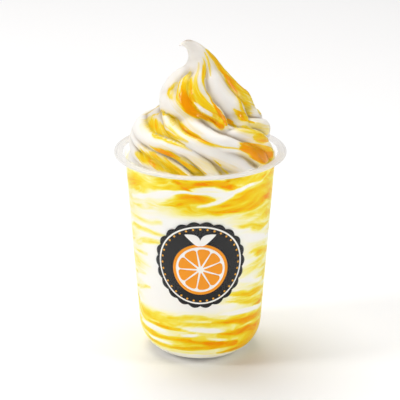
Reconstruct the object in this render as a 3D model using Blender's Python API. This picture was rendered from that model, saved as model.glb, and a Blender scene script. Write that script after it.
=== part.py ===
"""Sundae cup: a clear U-shaped cup full of soft serve rippled with fruit sauce.

Units are metres and degrees, +Z is up, and the origin is the middle of the foot, on
the surface that the cup stands on. The cup is turned about Z. The soft serve is one
solid: it fills the cup to the wall and rises over the rim as a coil with the ridges
of a star nozzle, up to a pulled peak whose tip curls towards -X. The sauce that lies
thick in its creases is fused to it.

Azimuths are measured about Z from +X towards +Y, so -90 or 270 faces the front (-Y).
"""

import math

import bmesh
import bpy
import numpy as np

MM = 0.001
FULL_TURN = 2 * math.pi
AROUND = 72

# The cup, turned about Z
CUP_HEIGHT = 117.6 * MM
RIM_RADIUS = 47.5 * MM
RIM_BEAD = 0.75 * MM
FLANGE = 0.7 * MM
FLANGE_DROP = 0.45 * MM
LIP_FILLET = 1.6 * MM
UNDERSIDE_FILLET = 1.2 * MM
WALL = 0.6 * MM
NECK_RADIUS = 41.9 * MM
WALL_SLOPE = math.tan(math.radians(4.0))
HEEL_HEIGHT = 17.7 * MM
HEEL_FULLNESS = 2.12
FOOT_RADIUS = 17.3 * MM
RECESS_RADIUS = 12.4 * MM
RECESS_DEPTH = 1.2 * MM

# The soft serve
GAP = 0.3 * MM
SWIRL_START = 106.0 * MM
SWIRL_TOP = 179.3 * MM
SWIRL_RINGS = 52
MOUTH_TOP = 119.0 * MM
TIP_START = 166.0 * MM
CREASE_SOFTNESS = 0.4 * MM
CREASE_DEPTH = 3.0 * MM
DEEPEST_CREASE = 0.35
BALL_SPACING = 1.2 * MM
END_SHARE = 0.18
END_SINK = 1.6 * MM
SPAN_STEPS = 8
STEEPEST_LEAN = 2.0
OVERHANG_LEAN = -0.3

# Outline of the swirl, seen from the front: height, left edge, right edge (mm)
SWIRL_OUTLINE = (
    (100.0, -47.0, 47.0),
    (112.0, -44.5, 44.5),
    (118.0, -41.0, 41.2),
    (124.0, -39.2, 39.6),
    (130.0, -38.0, 38.6),
    (134.3, -35.5, 36.8),
    (138.9, -30.3, 31.0),
    (141.2, -25.9, 29.8),
    (143.5, -21.9, 29.0),
    (148.0, -21.9, 27.0),
    (154.8, -20.2, 21.2),
    (161.6, -14.6, 15.2),
    (166.0, -8.2, 11.2),
    (170.5, -6.7, 7.7),
    (175.0, -8.6, 3.0),
    (180.0, -10.0, -4.0),
)

# How far the columns of the surface turn with height to run along the ridges: height, degrees
COLUMN_TURN = (
    (106.0, 112.0), (118.0, 74.0), (130.0, 34.0), (139.0, 6.0), (148.0, -10.0), (160.0, -20.0), (172.0, -24.0),
    (180.0, -24.0),
)

# Middle line of the pulled tip: x, height, radius (mm)
TIP = (
    (1.6, 159.0, 10.5), (1.3, 163.0, 9.0), (0.4, 167.8, 6.8), (-1.3, 171.5, 5.3), (-3.6, 174.7, 3.9),
    (-6.0, 176.6, 2.9), (-8.2, 177.1, 2.0), (-10.1, 177.0, 1.0),
)

# Ridges: crest points as azimuth (degrees), height, half width (mm)
LAST_TURN = (
    (125, 156, 5.0), (160, 153, 9.5), (190, 150.5, 11.0), (212, 148.5, 10.2), (230, 146.2, 9.2),
    (243, 143.8, 8.4), (254, 141.4, 7.8), (265, 139.6, 7.2), (276, 137.2, 6.5), (288, 133.5, 5.6),
    (303, 129.2, 4.0), (320, 122, 3.6), (335, 110, 4.0),
)
TIER_RIDGES = {
    "second": (
        (200, 142.5, 1.2), (214, 141.8, 1.8), (230, 140.0, 2.4), (252, 136.2, 3.4), (270, 131.6, 4.2),
        (289, 124.6, 5.6), (306, 118.5, 6.4), (324, 108, 6.4),
    ),
    "third": (
        (160, 133.5, 4.0), (178, 134.0, 5.0), (198, 132.8, 5.2), (222, 131.2, 4.0), (244, 130.8, 3.2),
        (256, 129.2, 3.0), (266, 125.4, 3.2), (277, 119.5, 3.6), (290, 109, 3.8),
    ),
    "fourth": (
        (168, 130.5, 3.0), (186, 128.0, 2.6), (211, 125.6, 2.0), (227, 124.6, 1.8), (242, 122.6, 1.8),
        (257, 118.2, 2.0), (272, 110, 2.4),
    ),
    "fifth": (
        (140, 135.0, 4.0), (155, 131.0, 5.0), (172, 126.0, 4.5), (190, 123.2, 4.0), (211, 120.3, 3.2),
        (228, 119.2, 3.2), (246, 115.8, 3.4), (262, 107, 3.6),
    ),
    "right front": ((300, 137.6, 2.6), (316, 135.6, 4.2), (332, 129.8, 4.8), (347, 121.5, 5.0), (362, 109, 5.2)),
    "right": ((326, 139.0, 4.0), (343, 136.8, 5.2), (360, 131.8, 6.0), (377, 123.5, 6.0), (394, 109, 6.0)),
}
BACK_TIER_RIDGE = ((330, 138.2, 4.4), (345, 135.0, 5.4), (360, 130.0, 6.0), (377, 122.0, 6.0), (394, 109, 6.0))
BACK_TIER_TURNS = (41, 79, 113)
PEAK_RIDGES = {
    "petal": ((258, 153.0, 1.6), (271, 148.6, 3.0), (284, 144.2, 3.6), (294, 140.0, 3.0)),
    "front": (
        (262, 174.0, 1.6), (262, 164.0, 4.4), (264, 157.0, 5.4), (273, 150.5, 4.6), (286, 144.6, 3.2),
        (298, 138.8, 2.4),
    ),
    "wide": (
        (301, 174.5, 1.6), (305, 166.0, 4.6), (308, 158.6, 6.8), (312, 150.0, 7.9), (318, 143.0, 7.9),
        (324, 136.5, 5.0),
    ),
    "left": ((184, 172.0, 2.0), (184, 165.0, 5.6), (184, 158.0, 8.0), (184, 152.0, 9.0)),
}
BACK_PEAK_RIDGE = (
    (-6, 173.5, 1.6), (0, 166.0, 4.4), (4, 158.0, 6.8), (10, 150.0, 8.0), (16, 143.0, 8.0), (20, 136.5, 5.0),
)
BACK_PEAK_TURNS = (-14, 32, 78, 118)

# Thick sauce: crest points as azimuth, height, half width, rise over the outline (mm)
SAUCE_RUNS = {
    "peak groove": (
        (222, 164, 2.0, -1.0), (231, 160, 4.5, -1.2), (238, 154, 5.6, -1.4), (247, 148.5, 5.0, -1.5),
        (262, 144.8, 3.0, -1.6), (284, 140.9, 2.4, -1.6), (298, 138.2, 2.2, -1.4),
    ),
    "rim pool": ((300, 129.5, 3.2, -1.6), (312, 125.5, 5.2, -1.8), (326, 120.5, 6.0, -1.8), (342, 117.0, 5.0, -1.6)),
    "third crease": (
        (218, 128.4, 2.2, -1.0), (234, 128.0, 2.8, -0.8), (250, 126.0, 2.6, -1.0), (266, 119.5, 2.2, -1.0),
    ),
}


def smooth_points(points, steps):
    """Points along a Catmull-Rom curve through `points`, `steps` of them per span."""
    knots = np.array(points, dtype=float)
    padded = np.vstack([2 * knots[0] - knots[1], knots, 2 * knots[-1] - knots[-2]])
    share = np.arange(steps)[:, None] / steps
    spans = []
    for before, start, end, after in zip(padded, padded[1:], padded[2:], padded[3:]):
        spans.append(0.5 * (2 * start + (end - before) * share
                            + (2 * before - 5 * start + 4 * end - after) * share ** 2
                            + (3 * start - before - 3 * end + after) * share ** 3))
    spans.append(knots[-1:])
    return np.vstack(spans)


OUTLINE = smooth_points(SWIRL_OUTLINE, SPAN_STEPS) * MM


def outline_at(height):
    """Middle (x) and radius of the swirl's outline at each height."""
    left = np.interp(height, OUTLINE[:, 0], OUTLINE[:, 1])
    right = np.interp(height, OUTLINE[:, 0], OUTLINE[:, 2])
    return (left + right) / 2, (right - left) / 2


def outline_lean(height):
    """Cosine and sine of the outward normal's angle over the horizontal."""
    step = 2.0 * MM
    slope = (outline_at(height - step)[1] - outline_at(height + step)[1]) / (2 * step)
    slope = np.clip(slope, OVERHANG_LEAN, STEEPEST_LEAN)
    length = np.sqrt(1 + slope ** 2)
    return 1 / length, slope / length


def even_balls(centres, radii):
    """The same string of balls, set about BALL_SPACING apart."""
    lengths = np.linalg.norm(np.diff(centres, axis=0), axis=1)
    travelled = np.concatenate([[0.0], np.cumsum(lengths)])
    count = max(2, round(travelled[-1] / BALL_SPACING))
    stations = np.linspace(0.0, travelled[-1], count)
    centres = np.stack([np.interp(stations, travelled, centres[:, axis]) for axis in range(3)], axis=1)
    return centres, np.interp(stations, travelled, radii)


def ridge_balls(crest, turned=0.0):
    """Balls strung under a ridge's crest, which lies on the swirl's outline."""
    points = smooth_points(crest, SPAN_STEPS)
    azimuth = np.radians(points[:, 0] + turned)
    height = points[:, 1] * MM
    radii = points[:, 2] * MM
    rise = points[:, 3] * MM if points.shape[1] > 3 else 0.0
    middle, reach = outline_at(height)
    flat, up = outline_lean(height)
    along = np.linspace(0.0, 1.0, len(points))
    ends = np.maximum(0.0, 1 - along / END_SHARE) ** 2 + np.maximum(0.0, (along - 1) / END_SHARE + 1) ** 2
    rise = rise - END_SINK * ends
    inward = reach - flat * (radii - rise)
    lowered = height - up * (radii - rise)
    centres = np.stack([middle + inward * np.cos(azimuth), inward * np.sin(azimuth), lowered], axis=1)
    return even_balls(centres, radii)


def tip_balls():
    """Balls strung along the pulled tip."""
    points = smooth_points(TIP, SPAN_STEPS) * MM
    centres = np.stack([points[:, 0], np.zeros(len(points)), points[:, 1]], axis=1)
    return even_balls(centres, points[:, 2])


def swirl_strings():
    """Every string of balls that shapes the swirl: the tip, the ridges, the thick sauce."""
    crests = [LAST_TURN, *TIER_RIDGES.values(), *PEAK_RIDGES.values(), *SAUCE_RUNS.values()]
    strings = [tip_balls()] + [ridge_balls(crest) for crest in crests]
    strings += [ridge_balls(BACK_TIER_RIDGE, turned) for turned in BACK_TIER_TURNS]
    strings += [ridge_balls(BACK_PEAK_RIDGE, turned) for turned in BACK_PEAK_TURNS]
    return strings


def string_reach(string, heights, cosines, sines, middles):
    """How far out each level ray from the swirl's middle leaves the last ball of a string."""
    reach = np.zeros(cosines.shape)
    for (x, y, z), radius in zip(*string):
        rows = np.abs(heights - z) < radius
        aside = x - middles[rows, None]
        ahead = aside * cosines[rows] + y * sines[rows]
        across = aside * sines[rows] - y * cosines[rows]
        half_chord = radius ** 2 - (heights[rows, None] - z) ** 2 - across ** 2
        far = np.where(half_chord > 0, ahead + np.sqrt(np.maximum(half_chord, 0)), 0.0)
        reach[rows] = np.maximum(reach[rows], far)
    return reach


def swirl_surface(heights):
    """Directions (cosine and sine) and lengths of level rays from the swirl's middle to its surface."""
    turns = smooth_points(COLUMN_TURN, SPAN_STEPS)
    turn = np.interp(heights, turns[:, 0] * MM, turns[:, 1])
    azimuths = np.radians(turn)[:, None] + np.arange(AROUND) * FULL_TURN / AROUND
    cosines, sines = np.cos(azimuths), np.sin(azimuths)
    middles, outline = outline_at(heights)
    depth = np.minimum(CREASE_DEPTH / outline_lean(heights)[0], DEEPEST_CREASE * outline)
    core = np.where(heights < TIP_START, outline - depth, 0.0)
    parts = [np.repeat(core[:, None], AROUND, axis=1)]
    parts += [string_reach(string, heights, cosines, sines, middles) for string in swirl_strings()]
    farthest = np.max(parts, axis=0)
    blend = sum(np.exp((part - farthest) / CREASE_SOFTNESS) for part in parts)
    return middles, cosines, sines, farthest + CREASE_SOFTNESS * np.log(blend)


def arc(centre, radius, start, end, steps):
    """Points of an arc in the turned section, as (distance from Z, height)."""
    angles = np.radians(np.linspace(start, end, steps + 1))
    return [(centre[0] + radius * math.cos(angle), centre[1] + radius * math.sin(angle)) for angle in angles]


def base_section(inset):
    """The recessed underside, `inset` inside the cup's outer face."""
    corner = inset * math.tan(math.radians(22.5))
    return [
        (0.0, RECESS_DEPTH + inset),
        (RECESS_RADIUS + corner, RECESS_DEPTH + inset),
        (RECESS_RADIUS + RECESS_DEPTH + corner, inset),
    ]


def wall_radius(height):
    """Radius of the cup's outer face at a height above the heel."""
    return NECK_RADIUS - (CUP_HEIGHT - height) * WALL_SLOPE


def heel_section(inset, steps=6):
    """The rounded heel from the foot up to the straight wall, a quarter of a full ellipse."""
    reach = wall_radius(0.0) - FOOT_RADIUS - inset
    power = 2 / HEEL_FULLNESS
    points = []
    for angle in np.linspace(0.0, math.pi / 2, steps + 1):
        height = HEEL_HEIGHT - (HEEL_HEIGHT - inset) * math.cos(angle) ** power
        points.append((FOOT_RADIUS + reach * math.sin(angle) ** power + height * WALL_SLOPE, height))
    return points


def rim_section():
    """The flange round the mouth, from the outer wall over the bead to the inner wall."""
    plate_top = CUP_HEIGHT - FLANGE_DROP
    plate_bottom = plate_top - FLANGE
    bead = (RIM_RADIUS - RIM_BEAD, CUP_HEIGHT - RIM_BEAD)
    under = math.degrees(math.asin((plate_bottom - bead[1]) / RIM_BEAD))
    over = math.degrees(math.asin((plate_top - bead[1]) / RIM_BEAD))
    inner = NECK_RADIUS - WALL
    return (
        arc((NECK_RADIUS + UNDERSIDE_FILLET, plate_bottom - UNDERSIDE_FILLET), UNDERSIDE_FILLET, 180, 90, 2)
        + arc(bead, RIM_BEAD, -180 - under, 180 - over, 6)
        + arc((inner + LIP_FILLET, plate_top - LIP_FILLET), LIP_FILLET, 90, 180, 3)
    )


def new_object(name, mesh, material):
    """Link an object that shows the mesh in the material."""
    mesh.materials.append(material)
    mesh.shade_smooth()
    mesh.set_sharp_from_angle(angle=math.radians(50))
    piece = bpy.data.objects.new(name, mesh)
    bpy.context.scene.collection.objects.link(piece)
    return piece


def plain_material(name, colour, roughness, alpha=1.0):
    """A Principled material without metal."""
    material = bpy.data.materials.new(name)
    material.use_nodes = True
    shader = material.node_tree.nodes["Principled BSDF"]
    shader.inputs["Base Color"].default_value = (*colour, 1.0)
    shader.inputs["Roughness"].default_value = roughness
    shader.inputs["Metallic"].default_value = 0.0
    shader.inputs["Alpha"].default_value = alpha
    return material


def make_cup():
    """Spin the cup's section about Z."""
    section = base_section(0.0) + heel_section(0.0) + rim_section()
    section += reversed(heel_section(WALL))
    section += reversed(base_section(WALL))
    bm = bmesh.new()
    corners = [bm.verts.new((radius, 0.0, height)) for radius, height in section]
    edges = [bm.edges.new(pair) for pair in zip(corners, corners[1:])]
    bmesh.ops.spin(bm, geom=corners + edges, cent=(0, 0, 0), axis=(0, 0, 1), angle=FULL_TURN, steps=AROUND,
                   use_merge=True)
    bmesh.ops.remove_doubles(bm, verts=bm.verts, dist=0.001 * MM)
    bmesh.ops.recalc_face_normals(bm, faces=bm.faces)
    mesh = bpy.data.meshes.new("cup")
    bm.to_mesh(mesh)
    bm.free()
    return new_object("cup", mesh, plain_material("clear_plastic", (0.93, 0.94, 0.93), 0.08, alpha=0.25))


def swirl_heights():
    """Heights of the swirl's rings, evenly spaced along its mean section."""
    fine = np.linspace(SWIRL_START, SWIRL_TOP, 400)
    radii = swirl_surface(fine)[-1].mean(axis=1)
    travelled = np.concatenate([[0.0], np.cumsum(np.hypot(np.diff(radii), np.diff(fine)))])
    return np.interp(np.linspace(0.0, travelled[-1], SWIRL_RINGS), travelled, fine)


def swirl_rings():
    """Rings of points up the swirl, which the cup's wall holds in below its mouth."""
    heights = swirl_heights()
    middles, cosines, sines, radii = swirl_surface(heights)
    across = middles[:, None] + radii * cosines
    along = radii * sines
    room = wall_radius(np.minimum(heights, CUP_HEIGHT)) - WALL - GAP
    room = np.where(heights < MOUTH_TOP, room, RIM_RADIUS)
    held = np.minimum(1.0, room[:, None] / np.hypot(across, along))
    levels = np.repeat(heights[:, None], AROUND, axis=1)
    return list(np.stack([across * held, along * held, levels], axis=2))


def fill_rings(columns):
    """Rings of points up the fill, from the cup's base, in the directions of the swirl's first ring."""
    circle = columns[:, :2] / np.linalg.norm(columns[:, :2], axis=1, keepdims=True)
    inset = WALL + GAP
    section = base_section(inset)[1:] + heel_section(inset)
    return [np.column_stack([radius * circle, np.full(AROUND, height)]) for radius, height in section]


def make_soft_serve():
    """Bridge the rings into one closed body, with a point in the bottom and one at the tip."""
    swirl = swirl_rings()
    rings = fill_rings(swirl[0]) + swirl
    bm = bmesh.new()
    loops = [[bm.verts.new(point) for point in ring] for ring in rings]
    for lower, upper in zip(loops, loops[1:]):
        for side in range(AROUND):
            after = (side + 1) % AROUND
            bm.faces.new((lower[side], lower[after], upper[after], upper[side]))
    bottom = bm.verts.new((0.0, 0.0, RECESS_DEPTH + WALL + GAP))
    top = bm.verts.new((rings[-1][:, 0].mean(), 0.0, SWIRL_TOP + 0.1 * MM))
    for side in range(AROUND):
        after = (side + 1) % AROUND
        bm.faces.new((bottom, loops[0][after], loops[0][side]))
        bm.faces.new((top, loops[-1][side], loops[-1][after]))
    mesh = bpy.data.meshes.new("soft_serve")
    bm.to_mesh(mesh)
    bm.free()
    return new_object("soft_serve", mesh, plain_material("vanilla_ice_cream", (0.93, 0.86, 0.74), 0.4))


def main():
    """Empty the scene and build the cup and what it holds."""
    for leftover in list(bpy.data.objects):
        bpy.data.objects.remove(leftover)
    make_cup()
    make_soft_serve()


main()
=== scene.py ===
"""Looks of a sundae cup: a clear takeaway cup full of soft serve rippled with fruit sauce.

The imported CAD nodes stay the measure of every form. This script replaces the cup with a finer
turned shell, and the soft serve with a finer coil whose ripple, thick sauce and print follow
the same named sizes. Sizes are millimetres and degrees until a mesh is made, which is metres.
Azimuths are measured about Z from +X towards +Y, so 270 faces the front (-Y).
"""

import logging
import math
from dataclasses import dataclass
from enum import Enum
from typing import Any, Callable, Iterable, Sequence

import bpy
import numpy as np
from bpy.types import GeometryNodeTree, Material, Mesh, Node, NodeSocket, NodeTree, Object
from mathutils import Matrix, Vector, noise


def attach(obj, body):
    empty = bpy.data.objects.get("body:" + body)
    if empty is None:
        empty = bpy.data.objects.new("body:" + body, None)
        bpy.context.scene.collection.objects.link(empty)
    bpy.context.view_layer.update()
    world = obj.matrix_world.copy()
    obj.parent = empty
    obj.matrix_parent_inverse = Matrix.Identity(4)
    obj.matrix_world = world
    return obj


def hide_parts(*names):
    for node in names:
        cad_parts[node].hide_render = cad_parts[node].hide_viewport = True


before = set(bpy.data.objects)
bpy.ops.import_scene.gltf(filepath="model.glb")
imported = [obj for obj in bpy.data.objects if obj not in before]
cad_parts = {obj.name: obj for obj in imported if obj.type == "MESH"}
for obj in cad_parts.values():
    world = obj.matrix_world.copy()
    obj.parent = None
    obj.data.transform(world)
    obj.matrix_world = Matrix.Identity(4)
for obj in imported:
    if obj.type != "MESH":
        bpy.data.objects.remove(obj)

MM = 0.001
BODY = "root"
FULL_TURN = 2 * math.pi
FRONT = 270.0
LOG = logging.getLogger("sundae_cup")

Array = np.ndarray
Crest = Sequence[Sequence[float]]


class Slot(Enum):
    """Material slots of the record."""

    CLEAR_PLASTIC = "clear_plastic"
    SOFT_SERVE = "soft_serve"


class CadNode(Enum):
    """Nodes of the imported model."""

    CUP = "cup"
    SOFT_SERVE = "soft_serve"


# ---------------------------------------------------------------------------------------------
# Curves, noise and meshes
# ---------------------------------------------------------------------------------------------


def smooth_points(points: Crest, steps: int) -> Array:
    """Run a Catmull-Rom curve through rows of numbers.

    Args:
        points: the rows that the curve passes through.
        steps: how many points each span gets.

    Returns:
        One row for each point of the curve.
    """
    knots = np.array(points, dtype=float)
    padded = np.vstack([2 * knots[0] - knots[1], knots, 2 * knots[-1] - knots[-2]])
    share = np.arange(steps)[:, None] / steps
    spans = []
    for before, start, end, after in zip(padded, padded[1:], padded[2:], padded[3:]):
        spans.append(0.5 * (2 * start + (end - before) * share
                            + (2 * before - 5 * start + 4 * end - after) * share ** 2
                            + (3 * start - before - 3 * end + after) * share ** 3))
    spans.append(knots[-1:])
    return np.vstack(spans)


def smoothstep(low: float, high: float, value: Array) -> Array:
    """Return 0 below low, 1 above high and an S between them."""
    share = np.clip((value - low) / (high - low), 0.0, 1.0)
    return share * share * (3 - 2 * share)


def arc(centre: Sequence[float], radius: float, start: float, end: float, steps: int) -> list:
    """Step along an arc of a turned section.

    Args:
        centre: the arc's centre, as distance from Z and height.
        radius: the arc's radius.
        start: the first angle in degrees, from outwards towards up.
        end: the last angle in degrees.
        steps: the number of steps.

    Returns:
        Points as (distance from Z, height).
    """
    angles = np.radians(np.linspace(start, end, steps + 1))
    return [(centre[0] + radius * math.cos(angle), centre[1] + radius * math.sin(angle))
            for angle in angles]


def even_steps(step: float, fewest: int, places: Array, *others: Array) -> list[Array]:
    """Set places evenly along a line.

    Args:
        step: about how far apart the new places lie.
        fewest: the least number of new places.
        places: the line's points.
        others: further numbers that the points have, one array for each kind.

    Returns:
        The new places, and then the numbers that they have, kind by kind.
    """
    lengths = np.linalg.norm(np.diff(places, axis=0), axis=1)
    travelled = np.concatenate([[0.0], np.cumsum(lengths)])
    stations = np.linspace(0.0, travelled[-1], max(fewest, round(travelled[-1] / step)))
    rows = [np.interp(stations, travelled, row) for row in [*places.T, *others]]
    return [np.stack(rows[:3], axis=1), *rows[3:]]


@dataclass(frozen=True)
class Drift:
    """A smooth wander by Perlin noise, with its features' size along X, Y and Z in millimetres.

    The offset moves it elsewhere in the noise, so that two drifts differ.
    """

    feature: tuple[float, float, float]
    strength: float | tuple[float, float, float]
    offset: float = 0.0

    def at(self, points: Array) -> Array:
        """Wander at points.

        Args:
            points: places in millimetres.

        Returns:
            One vector for each point, each number up to about the strength either way.
        """
        scaled = points / np.array(self.feature) + self.offset
        vectors = np.array([noise.noise_vector(Vector(point)) for point in scaled])
        return vectors * self.strength


def mesh_object(name: str, points: Array, faces: Iterable, material: Material) -> Object:
    """Link a smooth-shaded object at the origin.

    Args:
        name: the piece's name.
        points: vertices in millimetres.
        faces: the vertex numbers of each face.
        material: the piece's material.

    Returns:
        The new object.
    """
    mesh = bpy.data.meshes.new(name)
    mesh.from_pydata((np.asarray(points) * MM).tolist(), [], faces)
    mesh.validate()
    mesh.materials.append(material)
    mesh.shade_smooth()
    piece = bpy.data.objects.new(name, mesh)
    bpy.context.scene.collection.objects.link(piece)
    return piece


def grid_faces(rows: int, columns: int, closed: bool) -> list[tuple[int, int, int, int]]:
    """List the quads of a grid of points, row after row.

    Args:
        rows: the number of rows.
        columns: the number of points in a row.
        closed: whether each row's last point joins its first.

    Returns:
        Quads that face outwards where rows rise and columns run anticlockwise seen from above.
    """
    faces = []
    for row in range(rows - 1):
        for column in range(columns if closed else columns - 1):
            here = row * columns + column
            beside = row * columns + (column + 1) % columns
            faces.append((here, beside, beside + columns, here + columns))
    return faces


def set_attribute(mesh: Mesh, name: str, values: Array) -> None:
    """Store one number or vector for each vertex of a mesh.

    Args:
        mesh: the mesh.
        name: the attribute's name, which its material reads.
        values: one row for each vertex.
    """
    vector = values.ndim == 2
    attribute = mesh.attributes.new(name, "FLOAT_VECTOR" if vector else "FLOAT", "POINT")
    attribute.data.foreach_set("vector" if vector else "value", values.astype(np.float32).ravel())


def dress(piece: Object, slot: Slot, *nodes: CadNode) -> None:
    """Make a piece ride on the part and stand for CAD nodes.

    Args:
        piece: the finished piece.
        slot: the record's material slot that it would take its finish from; not used.
        nodes: the CAD nodes that it replaces.
    """
    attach(piece, BODY)
    if nodes:
        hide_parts(*[node.value for node in nodes])
    LOG.info("%s: %d vertices", piece.name, len(piece.data.vertices))


# ---------------------------------------------------------------------------------------------
# Node trees
# ---------------------------------------------------------------------------------------------


def add_node(tree: NodeTree, kind: str, settings: dict[str, Any] | None = None,
             values: dict[Any, Any] | None = None, links: dict[Any, Any] | None = None) -> Node:
    """Add a node to a tree.

    Args:
        tree: the tree.
        kind: the node's type name.
        settings: properties of the node.
        values: values of its input sockets, by socket name or number.
        links: output sockets that feed its input sockets, by socket name or number.

    Returns:
        The new node.
    """
    node = tree.nodes.new(kind)
    for key, value in (settings or {}).items():
        setattr(node, key, value)
    for key, value in (values or {}).items():
        node.inputs[key].default_value = value
    for key, source in (links or {}).items():
        tree.links.new(source, node.inputs[key])
    return node


def new_tree(name: str, **inputs: str) -> tuple[GeometryNodeTree, list]:
    """Make a Geometry Nodes tree that takes in and gives out geometry.

    Args:
        name: the tree's name.
        inputs: the kind of each further input, by its name.

    Returns:
        The tree, and the sockets that bring in its geometry and then its other inputs.
    """
    tree = bpy.data.node_groups.new(name, "GeometryNodeTree")
    face = tree.interface
    face.new_socket("Geometry", in_out="INPUT", socket_type="NodeSocketGeometry")
    for key, kind in inputs.items():
        face.new_socket(key, in_out="INPUT", socket_type=f"NodeSocket{kind}")
    face.new_socket("Geometry", in_out="OUTPUT", socket_type="NodeSocketGeometry")
    entry = add_node(tree, "NodeGroupInput")
    return tree, list(entry.outputs)[:len(inputs) + 1]


def end_tree(tree: GeometryNodeTree, geometry: NodeSocket, finish: NodeSocket) -> None:
    """Make a tree's instances real, give them their material and send them out.

    Args:
        tree: the tree.
        geometry: the socket that gives the geometry.
        finish: the socket that gives the material.
    """
    real = add_node(tree, "GeometryNodeRealizeInstances", None, None, {"Geometry": geometry})
    dressed = add_node(tree, "GeometryNodeSetMaterial", None, None,
                       {"Geometry": real.outputs[0], "Material": finish})
    add_node(tree, "NodeGroupOutput", None, None, {0: dressed.outputs[0]})


def run_nodes(piece: Object, tree: GeometryNodeTree, inputs: dict[str, Any]) -> None:
    """Run a Geometry Nodes tree on a piece once and keep the result as its mesh.

    Args:
        piece: the object whose mesh goes in, and then holds what comes out.
        tree: the tree.
        inputs: values of the tree's inputs by name.
    """
    modifier = piece.modifiers.new(tree.name, "NODES")
    modifier.node_group = tree
    for item in tree.interface.items_tree:
        if item.in_out == "INPUT" and item.name in inputs:
            modifier[item.identifier] = inputs[item.name]
    evaluated = piece.evaluated_get(bpy.context.evaluated_depsgraph_get())
    mesh = bpy.data.meshes.new_from_object(evaluated)
    piece.modifiers.remove(modifier)
    spare = piece.data
    piece.data = mesh
    mesh.name = piece.name
    bpy.data.meshes.remove(spare)
    mesh.shade_smooth()


# ---------------------------------------------------------------------------------------------
# Finishes
# ---------------------------------------------------------------------------------------------


def linear(colour: str) -> tuple[float, float, float, float]:
    """Turn an sRGB hex colour into linear RGBA."""
    shares = [int(colour[place:place + 2], 16) / 255 for place in (1, 3, 5)]
    red, green, blue = [share / 12.92 if share <= 0.04045 else ((share + 0.055) / 1.055) ** 2.4
                        for share in shares]
    return red, green, blue, 1.0


def fill_ramp(node: Node, stops: Sequence[tuple[float, str]]) -> None:
    """Set a colour ramp's stops, as (place, sRGB hex colour)."""
    ramp = node.color_ramp
    while len(ramp.elements) < len(stops):
        ramp.elements.new(1.0)
    for element, (place, colour) in zip(ramp.elements, stops):
        element.position = place
        element.color = linear(colour)


def new_material(name: str) -> tuple[Material, NodeTree]:
    """Make a material with nothing in its tree but the output.

    Args:
        name: the material's name.

    Returns:
        The material and its node tree.
    """
    material = bpy.data.materials.new(name)
    material.use_nodes = True
    tree = material.node_tree
    tree.nodes.clear()
    add_node(tree, "ShaderNodeOutputMaterial")
    return material, tree


def show(tree: NodeTree, shader: NodeSocket) -> None:
    """Link a shader to the tree's material output."""
    output = next(node for node in tree.nodes if node.type == "OUTPUT_MATERIAL")
    tree.links.new(shader, output.inputs["Surface"])


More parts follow.
